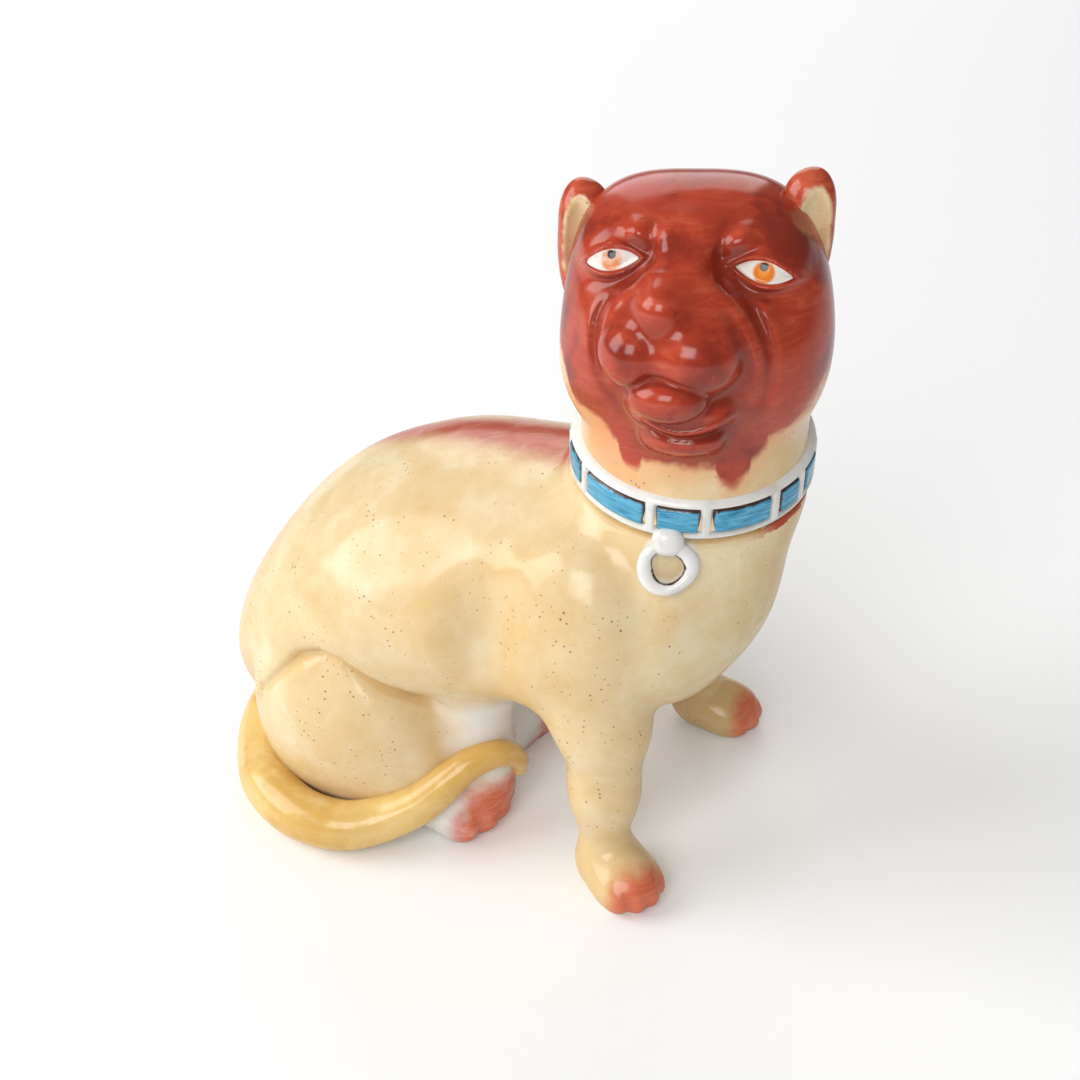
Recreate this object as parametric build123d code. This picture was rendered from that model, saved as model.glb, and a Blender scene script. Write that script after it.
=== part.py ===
"""Seated dog figure in glazed pottery: hollow mouldings luted together at the leather-hard stage.

Millimetres, +Z up, the dog faces -Y and +X is its left. The origin is on the floor, in the middle of
the slab that closes the underside. Each piece is cut by the larger one that it is luted to, so the two
meet face to face.
"""
import os
from math import degrees, radians, sin

from build123d import *

# Clay walls and the closing slab
wall = 6.0
slab_thickness = 5.0
vent_diameter = 12.0
vent_y = 26.0

# Torso: oval upright sections from breast to rump, as y, lowest z, highest z and half width
torso_sections = [
    (-140, 104, 132, 14),
    (-131, 77, 141, 37),
    (-112, 62, 147, 48),
    (-80, 55, 144, 58),
    (-40, 40, 139, 64),
    (-2, -2, 130, 65),
    (30, -8, 110, 57.5),
    (53, -4, 79, 43),
    (64, 14, 55, 18),
]

# Shoulder blades, as offset to each side, y, z and radii
shoulder_offset = 42.0
shoulder_y = -93.0
shoulder_z = 103.0
shoulder_radii = (17, 23, 34)

# Thighs, the lap of clay between them and the base of the rump, as centre and radii
thigh_offset = 49.0
thigh_centre_y = -2.0
thigh_centre_z = 38.0
thigh_radii = (25, 39, 40)
lap_centre = (0, -14, 20)
lap_radii = (40, 38, 36)
rump_centre = (0, 20, 26)
rump_radii = (56, 36, 38)

# Neck: round sections as x, y, z and radius
neck_sections = [(0, -103, 116, 41.5), (1.5, -112.5, 150, 36.8), (2, -113, 192, 36.5)]

# Head, turned to the dog's right and lifted; its own -Y is the way the face looks
head_centre = (1, -111, 208)
head_turn = -76.0
head_lift = 19.0
head_roll = -3.0
skull_centre = (0, 6, 7)
skull_radii = (40, 40, 34.5)
jaw_centre = (1.5, -3, -12)
jaw_radii = (39.5, 32, 30)
muzzle_centre = (0, -31, -2.5)
muzzle_radii = (26, 23, 22)
crown_centres = [(16, 5, 22.5), (-19.5, 5, 22.5)]
crown_radii = (17, 26, 18)
brow_centre = (0.5, -8, 23)
brow_radii = (31, 23, 15)
cheek_centres = [(30, -10, -13), (-26.5, -10, -16)]
cheek_radii = (12, 18, 19.5)
right_flew_centre = (-11, -43.5, -9.5)
right_flew_radii = (10.8, 12, 11.5)
left_flew_centre = (7, -43.5, -10.5)
left_flew_radii = (13.8, 12, 12.3)
nose_centre = (-1.6, -46, 4.5)
nose_radii = (11.5, 9.5, 9)
lip_centre = (0, -40, -23)
lip_radii = (12.5, 10.5, 8.6)
face_joint_y = 4.0

# Ears: upright flaps with a hollow that opens forwards
left_ear_centre = (33.5, -1, 23)
right_ear_centre = (-36.5, -3, 16.5)
ear_radii = (8, 7.5, 22)
ear_cup_centre = (0, -9.4, -3.5)
ear_cup_radii = (6, 7.2, 17.5)
ear_flare = 5.0
ear_turn = 14.0

# Front legs: round sections as x, y, z and radius, from the ankle up into the body
right_foreleg_sections = [
    (-41.5, -106, 9, 8.6),
    (-41, -105, 40, 10.2),
    (-39.5, -103.5, 66, 14.5),
    (-35, -100, 110, 17),
]
left_foreleg_sections = [
    (57, -95, 9, 8.6),
    (51, -96, 40, 10.2),
    (43, -97, 66, 14.5),
    (34, -96, 110, 17),
]
paw_radii = (12.6, 17, 10)
paw_height = 8.4
paw_reach = 8.0
right_paw_turn = -25.0
left_paw_turn = 12.0

# Hind legs: shank and paw, the right one set further forward
right_hind_paw = (-40, -42)
left_hind_paw = (24, -32)
hind_paw_radii = (18.5, 18.5, 12)
hind_paw_height = 10.0
left_hind_paw_turn = -12.0
right_hind_paw_turn = 0.0
shank_offset = 43.0
shank_y = -24.0
shank_z = 20.0
shank_radii = (17, 21, 22)

# Tail: round sections as x, y, z and radius, from the rump round the right haunch and over the paw
tail_sections = [
    (-4, 48, 14, 12),
    (-42, 43, 11, 11),
    (-63.5, 29, 10.2, 10.4),
    (-79, 0, 10, 9.7),
    (-65, -28, 13, 8.7),
    (-41, -49, 24.5, 7.2),
    (-30, -54.5, 22.5, 5.5),
    (-25, -58, 18, 2.8),
]

# Collar: it leans to the dog's right and tilts forwards
collar_lean = 8.0
collar_tilt = 4.0
collar_centre = (2.2, -112, 159.3)
collar_height = 16.0
collar_seat_radius = 33.0
collar_floor_radius = 38.8
collar_rail_proud = 1.6
collar_rail_height = 3.0
rib_bearings = [121, 146, 187, 213, 248, 267.5, 290, 319, 348, 377, 406, 435, 459]
rib_width = 3.2
enamel_thickness = 1.2
joint_coil_radius = 4.0

# Lug and ring in relief under the collar, on the side that the face looks to
ring_centre = (-36.2, -123, 136)
ring_normal = (-0.81, -0.45, 0.38)
ring_radius = 8.2
ring_wire_radius = 2.4
lug_rise = 10.5
lug_proud = 2.0
lug_radii = (5.2, 6, 4)

big = 600.0


def ellipsoid(centre, radii):
    """An ellipsoid about a centre."""
    return Pos(*centre) * scale(Sphere(1), by=radii)


def oval_loft(sections, inset):
    """A loft through upright ovals, each pulled in by the inset; the ends move in by as much."""
    last = len(sections) - 1
    faces = []
    for index, (y, low, high, half) in enumerate(sections):
        if index == 0:
            y += inset
        if index == last:
            y -= inset
        middle = (low + high) / 2
        oval = Ellipse(half - inset, (high - low) / 2 - inset)
        faces.append(Plane((0, y, middle), x_dir=(1, 0, 0), z_dir=(0, -1, 0)) * oval)
    return loft(faces)


def round_loft(sections):
    """A loft through level circles, given as x, y, z and radius."""
    return loft([Pos(x, y, z) * Circle(radius) for x, y, z, radius in sections])


def tube_loft(sections):
    """A tapering tube through circles that stand square to the line between their neighbours."""
    last = len(sections) - 1
    faces = []
    for index, (x, y, z, radius) in enumerate(sections):
        before = sections[max(index - 1, 0)]
        after = sections[min(index + 1, last)]
        along = Vector(*after[:3]) - Vector(*before[:3])
        faces.append(Plane((x, y, z), z_dir=along) * Circle(radius))
    return loft(faces)


def half_space(height):
    """Everything above a level."""
    return Pos(0, 0, height + big / 2) * Box(big, big, big)


def neck(inset):
    """The neck, with its radius pulled in by the inset."""
    return round_loft([(x, y, z, radius - inset) for x, y, z, radius in neck_sections])


def shrink(radii, inset):
    """Radii pulled in by a wall."""
    return tuple(radius - inset for radius in radii)


def body_form(inset):
    """Torso, thighs, shoulders, lap, rump and lower neck as one solid, pulled in by the inset."""
    form = oval_loft(torso_sections, inset)
    for side in (-1, 1):
        centre = (side * thigh_offset, thigh_centre_y, thigh_centre_z)
        form += ellipsoid(centre, shrink(thigh_radii, inset))
        blade = (side * shoulder_offset, shoulder_y, shoulder_z)
        form += ellipsoid(blade, shrink(shoulder_radii, inset))
    form += ellipsoid(lap_centre, shrink(lap_radii, inset))
    form += ellipsoid(rump_centre, shrink(rump_radii, inset))
    return form + split(neck(inset), bisect_by=collar_plane, keep=Keep.BOTTOM)


def head_form(inset):
    """Skull, jaw and muzzle as one solid, pulled in by the inset; the outer form has the relief too."""
    form = ellipsoid(skull_centre, shrink(skull_radii, inset))
    form += ellipsoid(jaw_centre, shrink(jaw_radii, inset))
    form += ellipsoid(muzzle_centre, shrink(muzzle_radii, inset))
    if inset == 0:
        for centre in crown_centres:
            form += ellipsoid(centre, crown_radii)
        form += ellipsoid(brow_centre, brow_radii)
        for centre in cheek_centres:
            form += ellipsoid(centre, cheek_radii)
        form += ellipsoid(right_flew_centre, right_flew_radii)
        form += ellipsoid(left_flew_centre, left_flew_radii)
        form += ellipsoid(nose_centre, nose_radii)
        form += ellipsoid(lip_centre, lip_radii)
    return head_place * form + split(neck(inset), bisect_by=collar_plane, keep=Keep.TOP)


def ear(side, centre):
    """One cupped ear on its side of the head, cut to the head."""
    flap = scale(Sphere(1), by=ear_radii)
    place = head_place * Pos(*centre) * Rot(0, side * ear_flare, 0) * Rot(0, 0, ear_turn)
    return place * (flap - ellipsoid(ear_cup_centre, ear_cup_radii)) - head_solid


def foreleg(sections, turn):
    """One front leg with its paw, flat on the floor."""
    x, y = sections[0][:2]
    paw = Pos(x, y, paw_height) * Rot(0, 0, turn) * ellipsoid((0, -paw_reach, 0), paw_radii)
    return ((round_loft(sections) + paw) & half_space(0)) - body_solid


def hind_leg(side, paw_place, turn):
    """One hind shank with its paw, flat on the floor."""
    paw = Pos(*paw_place, hind_paw_height) * Rot(0, 0, turn)
    leg = paw * scale(Sphere(1), by=hind_paw_radii)
    leg += ellipsoid((side * shank_offset, shank_y, shank_z), shank_radii)
    return (leg & half_space(0)) - body_solid


def ring_block(inner, outer, height, middle, span):
    """A block of a ring on the collar, as wide as a span in degrees about a bearing."""
    edges = [Vector(big, 0).rotate(Axis.Z, side * span / 2) for side in (-1, 1)]
    sector = make_face(Polyline((0, 0), edges[0], edges[1], close=True))
    face = (Circle(outer) - Circle(inner)) & sector
    return Rot(0, 0, middle) * Pos(0, 0, -height / 2) * extrude(face, height)


def ring(inner, outer, height):
    """A plain ring on the collar, centred on its height."""
    return Cylinder(outer, height) - Cylinder(inner, height)


def collar():
    """The collar band: a floor, a rail along each edge and ribs between the cells."""
    rail_radius = collar_floor_radius + collar_rail_proud
    band = ring(collar_seat_radius, collar_floor_radius, collar_height)
    for side in (-1, 1):
        rail_z = side * (collar_height - collar_rail_height) / 2
        band += Pos(0, 0, rail_z) * ring(collar_seat_radius, rail_radius, collar_rail_height)
    for bearing in rib_bearings:
        band += ring_block(collar_seat_radius, rail_radius, collar_height, bearing, rib_span)
    return collar_place * band - neck(0) - body_solid - head_solid


def enamel_panels():
    """The enamel that fills each cell of the collar."""
    outer = collar_floor_radius + enamel_thickness
    cells = []
    for start, stop in zip(rib_bearings, rib_bearings[1:] + [rib_bearings[0] + 360]):
        span = stop - start - rib_span
        cell = ring_block(collar_floor_radius, outer, cell_height, (start + stop) / 2, span)
        cells += (collar_place * cell - body_solid - head_solid).solids()
    return Compound(cells)


collar_plane = Plane(
    collar_centre,
    x_dir=(1, 0, 0),
    z_dir=(-sin(radians(collar_lean)), -sin(radians(collar_tilt)), 1),
)
head_place = Pos(*head_centre) * Rot(0, 0, head_turn) * Rot(-head_lift, 0, 0) * Rot(0, head_roll, 0)

collar_place = Location(collar_plane)
cell_height = collar_height - 2 * collar_rail_height
rib_span = degrees(rib_width / collar_floor_radius)
ring_place = Location(Plane(ring_centre, x_dir=(-ring_normal[1], ring_normal[0], 0), z_dir=ring_normal))

# The outer forms and the hollows that the shells are made from
body_solid = body_form(0)
body_cavity = body_form(wall)
head_solid = head_form(0)
head_cavity = head_form(wall)
body_shell = (body_solid - body_cavity) & half_space(slab_thickness)
head_shell = head_solid - head_cavity
face_joint = Plane(head_place * Pos(0, face_joint_y, 0) * Rot(90, 0, 0))
neck_coil = collar_place * Torus(neck_sections[1][3] - wall, joint_coil_radius)
slab = (body_solid & half_space(0)) - half_space(slab_thickness)
vent = Pos(0, vent_y, 0) * Cylinder(vent_diameter / 2, 4 * slab_thickness)

pieces = {
    "body_left_shell": split(body_shell, bisect_by=Plane.YZ, keep=Keep.TOP),
    "body_right_shell": split(body_shell, bisect_by=Plane.YZ, keep=Keep.BOTTOM),
    "base_slab": slab - vent,
    "face_shell": split(head_shell, bisect_by=face_joint, keep=Keep.TOP),
    "head_back_shell": split(head_shell, bisect_by=face_joint, keep=Keep.BOTTOM),
    "neck_joint_coil": neck_coil & (body_cavity + head_cavity),
    "ear_left": ear(1, left_ear_centre),
    "ear_right": ear(-1, right_ear_centre),
    "foreleg_left": foreleg(left_foreleg_sections, left_paw_turn),
    "foreleg_right": foreleg(right_foreleg_sections, right_paw_turn),
    "hind_leg_left": hind_leg(1, left_hind_paw, left_hind_paw_turn),
    "hind_leg_right": hind_leg(-1, right_hind_paw, right_hind_paw_turn),
    "collar_band": collar(),
    "collar_enamel_panels": enamel_panels(),
}
tail = tube_loft(tail_sections) & half_space(0)
pieces["tail"] = tail - body_solid - pieces["hind_leg_right"]
ring_relief = ring_place * Torus(ring_radius, ring_wire_radius)
pieces["collar_ring"] = ring_relief - body_solid - pieces["collar_band"]
lug = ring_place * ellipsoid((0, lug_rise, lug_proud), lug_radii)
for neighbour in ("collar_band", "collar_enamel_panels", "collar_ring"):
    lug -= pieces[neighbour]
pieces["collar_lug"] = lug - body_solid

os.makedirs("parts", exist_ok=True)
for name, piece in pieces.items():
    export_step(piece, f"parts/{name}.step")
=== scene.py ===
"""Seated dog figure in glazed pottery: the painted, glazed surfaces over the luted mouldings.

Forms are worked out in millimetres, as signed distances that blend into each other the way wet clay does,
and are put into the meshes in metres.
"""
from functools import partial
from math import cos, pi, radians, sin

import bpy
import numpy as np
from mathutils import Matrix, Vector


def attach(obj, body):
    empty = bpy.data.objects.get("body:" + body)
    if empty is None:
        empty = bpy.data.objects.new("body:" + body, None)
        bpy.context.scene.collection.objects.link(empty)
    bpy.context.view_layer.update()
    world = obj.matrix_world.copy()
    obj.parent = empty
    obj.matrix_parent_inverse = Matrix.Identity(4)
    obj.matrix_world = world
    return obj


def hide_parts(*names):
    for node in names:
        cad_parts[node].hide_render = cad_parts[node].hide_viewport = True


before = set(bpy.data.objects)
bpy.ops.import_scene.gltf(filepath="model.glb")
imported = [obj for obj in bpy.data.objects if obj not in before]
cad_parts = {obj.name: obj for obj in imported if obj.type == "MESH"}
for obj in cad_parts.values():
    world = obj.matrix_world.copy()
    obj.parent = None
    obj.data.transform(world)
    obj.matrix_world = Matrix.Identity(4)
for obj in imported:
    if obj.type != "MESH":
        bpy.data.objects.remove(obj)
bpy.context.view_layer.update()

bl_info = {
    "name": "Seated Pottery Dog",
    "version": (1, 0, 0),
    "blender": (4, 5, 0),
    "location": "View3D > Sidebar > Pottery Dog",
    "description": "Builds a glazed and painted pottery dog over its moulded pieces",
    "category": "Object",
}

MM = 0.001

# Torso: y, lowest z, highest z and half width of oval sections from breast to rump
TORSO_ROWS = np.array([
    (-141, 116, 120, 2), (-131, 77, 141, 37), (-112, 62, 147, 48), (-80, 55, 144, 58), (-40, 44, 139.5, 64),
    (-2, 30, 130.5, 65), (30, 16, 111, 57.5), (53, 14, 80, 43), (66, 40, 45, 3),
], float)
RUMP_BASE = ((0, 20, 26), (56, 36, 38))
NECK_ROWS = [(0, -104, 112, 40), (1.5, -112.5, 148, 36.6), (2, -113, 196, 37)]

# Front legs: x, y, z and radius from the shoulder to the ankle, then the paw's turn in degrees
FORELEGS = {
    "right": ([(-36, -100, 104, 19), (-39.5, -103.5, 66, 13.8), (-41, -105, 40, 10.2),
               (-41.5, -106, 13, 8.6)], -25),
    "left": ([(35, -96, 104, 19), (43, -97, 66, 13.8), (51, -96, 40, 10.2), (57, -95, 13, 8.6)], 12),
}
FOREPAW_RADII = (12.6, 17, 10)
PAW_REACH = 8.0
PAW_RISE = 0.84
FORELEG_TOP = 52.0
FORELEG_ROOM = 36.0

# Toes: place across the paw as a share of its width, and how far each is set back
TOES = ((-0.66, 3.2), (-0.22, 0), (0.22, 0), (0.66, 3.2))

# Hind legs: side of the body, paw's place on the floor and its turn
HIND_LEGS = {"right": (-1, (-40, -42), 0), "left": (1, (24, -32), -12)}
HIND_PAW_RADII = (18.5, 18.5, 12)
HIND_ROOM = (24, 25, 30)
HIND_FRONT = -58.0

# Hind shanks: x, y, z and radius from the floor up into the belly
SHANKS = {
    "right": [(-35, -44, 4, 11), (-33, -45, 20, 15), (-31, -44, 58, 15.5)],
    "left": [(22, -34, 4, 11), (22, -34, 20, 14), (23, -33, 58, 14)],
}

# Balls of clay on each side of the body: centre (x is mirrored), radii and fillet
CALF = ((43, -24, 20), (17, 21, 22))
THIGH = ((49, -2, 38), (25, 39, 40), 14)
SHOULDER = ((43, -92, 102), (14.5, 22, 33), 15)
SHOULDER_HOLLOW = ((66, -67, 103), (13, 10, 27), 14)
LAP = ((0, -14, 20), (40, 38, 36))

# Fillets where the parts of the body meet
NECK_FILLET = 10.0
FORELEG_FILLET = 6.0
RUMP_FILLET = 10.0
HAUNCH_FILLET = 4.0
HIND_FILLET = 10.0
FLOOR_EDGE = 1.2

# Step over the thigh, seen from the side: y, z and depth
HAUNCH_CREASE = np.array([
    (32, 36, 0.0), (25, 50, 1.2), (7, 71, 1.8), (-3, 76.5, 2.0), (-12, 76, 2.0), (-25, 67, 2.0),
    (-35, 61, 1.8), (-46, 56, 0.8), (-54, 54, 0.0),
])

# Tail: x, y, z and radius
TAIL_ROWS = np.array([
    (12, 42, 16, 11), (-15, 48, 13, 12), (-42, 43, 11, 11), (-63.5, 29, 10.2, 10.4), (-74, 16, 10, 10),
    (-79, 0, 10, 9.7), (-77, -16, 10.3, 9.3), (-69.5, -28, 12.5, 8.6), (-61.5, -40, 19.5, 7.8),
    (-54.7, -47.8, 28, 6.8), (-48.5, -53.5, 34, 5.9), (-41.4, -59.3, 35.9, 5.3), (-34.3, -62.3, 32.5, 4.7),
    (-29.5, -63, 26.5, 4.0), (-28, -62.5, 21.5, 3.0),
], float)

# Head
HEAD_CENTRE = np.array([1.0, -111.0, 208.0])
HEAD_TURN = -76.0
HEAD_LIFT = 19.0
HEAD_ROLL = -3.0
EYES = {"left": (1, 25.2, 15.4), "right": (-1, -20.4, 16.3)}
EYE_DEPTH = -22.5
EYE_RADIUS = 10.5
EYE_HALF_LENGTH = 8.5
EYE_RISE = 3.3
EYE_FALL = 3.1
EYE_DROOP = 0.14
SOCKET_DEPTH = -37.5
SOCKET_RADII = (11.5, 6, 6.5)
LID_HEIGHT = 1.5
LID_WIDTH = 1.1
FACE_FRONT = -12.0
EAR_TURN = 14.0
IRIS_RADIUS = 3.2
PUPIL_RADIUS = 1.35
PUPIL_RAISED = 1.7

# Painted mask, in the head's axes: its lower edge (x and z), its drips (x, half width and reach) and its back
MASK_BACK = 16.0
MASK_EDGE = np.array([
    (-60, 20), (-37, -13), (-31.7, -28.7), (-22.8, -35.6), (-16.5, -41), (-8.5, -45), (13, -45), (22, -43.5),
    (26.3, -38), (32.5, -34), (40, -25), (43, -18), (60, 20),
], float)
DRIPS = ((-14.2, 4, 7), (18, 5, 7), (25, 3, 3), (2, 6, 2))
BLUSH_CENTRE = (-27, -22, -40)
BLUSH_REACH = 15.0
EARS = {"left": (1, (33.5, -1, 23.0)), "right": (-1, (-36.5, -3, 16.5))}

# Skull and muzzle, in the head's axes: centre, radii and fillet of balls that are added one after the other
SKULL = ((0.5, 6, 7), (39.5, 40, 33))
SKULL_BALLS = (
    ((16, 5, 21), (17, 26, 18), 10),
    ((-19.5, 5, 20.5), (17, 26, 18), 10),
    ((1.5, -3, -13), (37.5, 31, 29), 20),
    ((30, -10, -13), (12, 18, 20), 9),
    ((-26.5, -10, -16), (12, 18, 19), 9),
)
TEMPLE_RADII = (12, 16, 20)
TEMPLE_FILLET = 12.0
BROW_RADII = (4.0, 3.4)
BROW_FILLET = 10.0
BROWS = (
    ((-22.5, -12, 8), (-10, -29, 22.5), (-25, -22, 21.5)),
    ((27.5, -12, 8), (14, -29, 22.5), (29, -22, 21.5)),
)
FOREHEAD = ((0, -3, 24.5), (28, 24, 16), 12)
BRIDGE = ((1.5, -31, 8), (2, -26, 19), 15, 10.5)
BRIDGE_FILLET = 7.0
MUZZLE_BALLS = (
    ((1.5, -29, -3), (24.5, 22, 21), 7),
    ((24, -23, -10), (11, 13, 17), 10),
    ((-21, -23, -9), (9, 13, 17), 7),
    ((3.5, -33, -26), (16, 11, 8.5), 6),
    ((3.5, -29, -36), (12, 8, 5), 4),
    ((-9.5, -43.5, -9), (10.3, 11.5, 10.8), 4),
    ((7.5, -42.5, -9), (14, 12.5, 12), 4),
    ((-1.5, -47, 4.5), (7.2, 8.2, 6.8), 6),
)
NOSTRIL = ((7.8, -54.5, 2.2), (2.2, 2.4, 1.5), 3)
LOWER_LIP = ((1.2, -44, -21.5), (12, 10.5, 7.6), 1.4)

# Folds of the face, seen from the front: x, z, height (a groove is negative) and half width
FRONT_FOLDS = (
    [(-8, 14, 0, 2.4), (-8, 19, -1.7, 2.4), (-8.5, 24, -1.2, 2.4), (-9, 31, 0, 2.4)],
    [(11, 13, 0, 2.4), (12, 18, -2.2, 2.4), (12.5, 23, -1.5, 2.4), (14, 31, 0, 2.4)],
    [(-13, 20, 0.4, 3.2), (-14, 25, 1.3, 3.2), (-13.5, 30, 0, 2.6)],
    [(18, 19, 0.4, 3.2), (19, 25, 1.2, 3.2), (17.5, 30, 0, 2.6)],
    [(-3, 20, 0, 3), (-3, 24, 0.9, 3), (-4, 29, 0, 3)],
    [(6, 20, 0, 3), (6.5, 24, 0.9, 3), (7.5, 29, 0, 3)],
    [(14, 11, 0, 1.8), (20, 4, 0.8, 1.8), (25, -6, 1.1, 1.8), (26, -16, 0.9, 1.8), (23, -23, 0, 1.8)],
    [(17, 12, 0, 1.6), (24, 4, -0.8, 1.6), (28.5, -6, -0.7, 2.0), (29, -17, -0.6, 2.0), (25, -26, 0, 1.8)],
    [(20, 11, 0, 1.9), (27.5, 4, 1.0, 1.9), (32, -7, 0.8, 2.4), (31.5, -20, 0.6, 2.4), (26, -30, 0, 2)],
    [(-12, 9, 0, 1.8), (-18.5, 2, 0.6, 1.8), (-21, -8, 0.8, 1.8), (-19, -18, 0, 1.8)],
    [(-14, 10, 0, 1.8), (-22, 2, -1, 1.8), (-23.5, -9, -1.4, 1.8), (-21, -20, -1, 1.8), (-16, -27, 0, 1.8)],
    [(-11, -24, 0, 1.0), (-6, -29, 1.0, 1.1), (3, -32.5, 1.2, 1.1), (12, -31, 1.1, 1.1), (21, -25.5, 0, 1.0)],
    [(-11, -26, 0, 1.2), (-6, -31.5, -0.9, 1.3), (3, -35, -1, 1.3), (13, -33, -0.9, 1.3), (22, -27, 0, 1.2)],
)

# Collar: it leans to the dog's right and tilts forwards; ribs are bearings round it
COLLAR_CENTRE = np.array([2.2, -112.0, 159.3])
COLLAR_LEAN = 8.0
COLLAR_TILT = 4.0
COLLAR_HALF_HEIGHT = 8.0
COLLAR_SEAT = 33.0
COLLAR_FLOOR = 38.8
COLLAR_PROUD = 1.6
COLLAR_RAIL = 2.8
RIBS = np.array([121, 146, 187, 213, 248, 267.5, 290, 319, 348, 377, 406, 435, 459.0])
RIB_WIDTH = 3.2
ENAMEL = 1.5
COLLAR_CLEARANCE = 1.2

# Ring in relief
RING_CENTRE = np.array([-38.6, -124.1, 137.7])
RING_NORMAL = np.array([-0.82, -0.44, 0.35])
RING_RADIUS = 7.4
RING_WIRE = 2.3
RING_RISE = 1.9
LUG_ABOVE = 8.4
LUG_RADII = (5.2, 4.6, 3.6)

# Slab and vent
SLAB_TOP = 5.0
VENT_Y = 26.0
VENT_RADIUS = 6.0
SLAB_FRONT = -58.0

# Paint on the body: the stripe's y, middle x and half width, then the limits of the toes and of the white lap
STRIPE = np.array([(-90, 2, 18), (-60, 12, 17), (-30, 12, 14), (10, 12, 11), (40, 12, -6)], float)
STRIPE_LOWEST = 60.0
FORE_TOE_LINE = 10.0
HIND_TOE_LINE = 10.5
TOE_ROOM = 26.0
TOE_TOP = 22.0
LAP_FRONT, LAP_BACK, LAP_TOP = -66.0, -8.0, 60.0
LAP_HALF_WIDTH = 36.0
SHANK_WHITE = 11.0
WHITE_PAW_RADII = (27, 27, 26)
WIPED_FOOT = 0.9
NO_LINE = 9.0
FAR = 40.0
# How far from the surface hollows are sought, for the painted shade in them.
HOLLOW_REACH = 4.0

# Surfaces of one piece run on under the next by this much, sunk by that much
OVERLAP = 4.0
SUNK = 0.45

# Studio: what the camera looks at, then each lamp's place and size in metres and its power: a window on the
# left, a fill near the camera and a light from behind
TARGET = np.array([-0.008, -0.060, 0.110])
LAMPS = (
    ("window", (-1.0, 1.6, 1.3), 1.7, 36),
    ("fill", (-1.98, -0.4, 1.6), 1.3, 27),
    ("top", (1.7, 0.9, 1.2), 1.6, 14),
)
WORLD_LIGHT, WORLD_GLOSS = 0.34, 0.12
FLOOR_HALF = 6.0
FLOOR_GLOW = 0.1


# Distances and blends

def turn_z(degrees):
    """Rotation about Z."""
    c, s = cos(radians(degrees)), sin(radians(degrees))
    return np.array([[c, -s, 0], [s, c, 0], [0, 0, 1]])


def turn_x(degrees):
    """Rotation about X."""
    c, s = cos(radians(degrees)), sin(radians(degrees))
    return np.array([[1, 0, 0], [0, c, -s], [0, s, c]])


def turn_y(degrees):
    """Rotation about Y."""
    c, s = cos(radians(degrees)), sin(radians(degrees))
    return np.array([[c, 0, s], [0, 1, 0], [-s, 0, c]])


def ball(p, centre, radii):
    """Distance to an ellipsoid to first order: k(k - 1)/g, with k the scaled radius and g its slope."""
    q = p - np.asarray(centre, float)
    r = np.asarray(radii, float)
    k = np.sqrt(((q / r) ** 2).sum(-1))
    g = np.sqrt(((q / r ** 2) ** 2).sum(-1))
    return k * (k - 1) / np.maximum(g, 1e-9)


def limb(p, a, b, radius_a, radius_b):
    """Distance to a segment, less a radius that runs evenly from one end to the other."""
    a, b = np.asarray(a, float), np.asarray(b, float)
    t = np.clip((p - a) @ (b - a) / ((b - a) @ (b - a)), 0, 1)
    return np.sqrt(((p - a - t[..., None] * (b - a)) ** 2).sum(-1)) - (radius_a + t * (radius_b - radius_a))


def blend(a, b, k):
    """Union of two distances with a fillet: the lesser one, less a parabola where they differ by under k."""
    h = np.maximum(k - np.abs(a - b), 0) / k
    return np.minimum(a, b) - h * h * k / 4


def carve(a, b, k):
    """The first form without the second, with a rounded edge."""
    return -blend(-a, b, k)


def trim(a, b, k):
    """What lies in both forms, with a rounded edge."""
    return -blend(-a, -b, k)


def unit(v):
    """Vectors scaled to length one."""
    return v / np.maximum(np.linalg.norm(v, axis=-1, keepdims=True), 1e-9)


def soft(x):
    """Smooth step from nought to one."""
    x = np.clip(x, 0, 1)
    return x * x * (3 - 2 * x)


def heaped(p, d, balls):
    """A form with balls added to it one after the other, each with its own fillet."""
    for centre, radii, fillet in balls:
        d = blend(d, ball(p, centre, radii), fillet)
    return d


def mirrored(centre, sign):
    """A place on the body's left, or on its right for a negative sign."""
    return sign * centre[0], centre[1], centre[2]


def beside_line(u, v, rows):
    """Distance of points on a plane to a line through rows of u, v and further values, the side of the line
    that they lie on (1 or -1), and the further values at the nearest place on it."""
    away = np.full(u.shape, 1e9)
    side = np.zeros(u.shape)
    values = np.zeros((rows.shape[1] - 2,) + u.shape)
    for a, b in zip(rows[:-1], rows[1:]):
        du, dv = b[:2] - a[:2]
        t = np.clip(((u - a[0]) * du + (v - a[1]) * dv) / (du * du + dv * dv), 0, 1)
        now = np.hypot(u - a[0] - t * du, v - a[1] - t * dv)
        closer = now < away
        away = np.where(closer, now, away)
        side = np.where(closer, np.sign((u - a[0]) * dv - (v - a[1]) * du), side)
        values = np.where(closer, a[2:, None] + t * (b - a)[2:, None], values)
    return away, side, values


def chain(p, rows, k):
    """Limbs through rows of x, y, z and radius, blended at their ends."""
    d = limb(p, rows[0][:3], rows[1][:3], rows[0][3], rows[1][3])
    for start, end in zip(rows[1:-1], rows[2:]):
        d = blend(d, limb(p, start[:3], end[:3], start[3], end[3]), k)
    return d


def smooth_rows(rows, count):
    """Catmull-Rom curve through rows of numbers, with count samples to a span."""
    slope = np.gradient(rows, axis=0)
    u = np.linspace(0, 1, count, endpoint=False)[:, None, None]
    a, b, ta, tb = rows[:-1], rows[1:], slope[:-1], slope[1:]
    spans = ((2 * u ** 3 - 3 * u ** 2 + 1) * a + (u ** 3 - 2 * u ** 2 + u) * ta
             + (3 * u ** 2 - 2 * u ** 3) * b + (u ** 3 - u ** 2) * tb)
    return np.vstack([spans.transpose(1, 0, 2).reshape(-1, rows.shape[1]), rows[-1:]])


# Body

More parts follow.
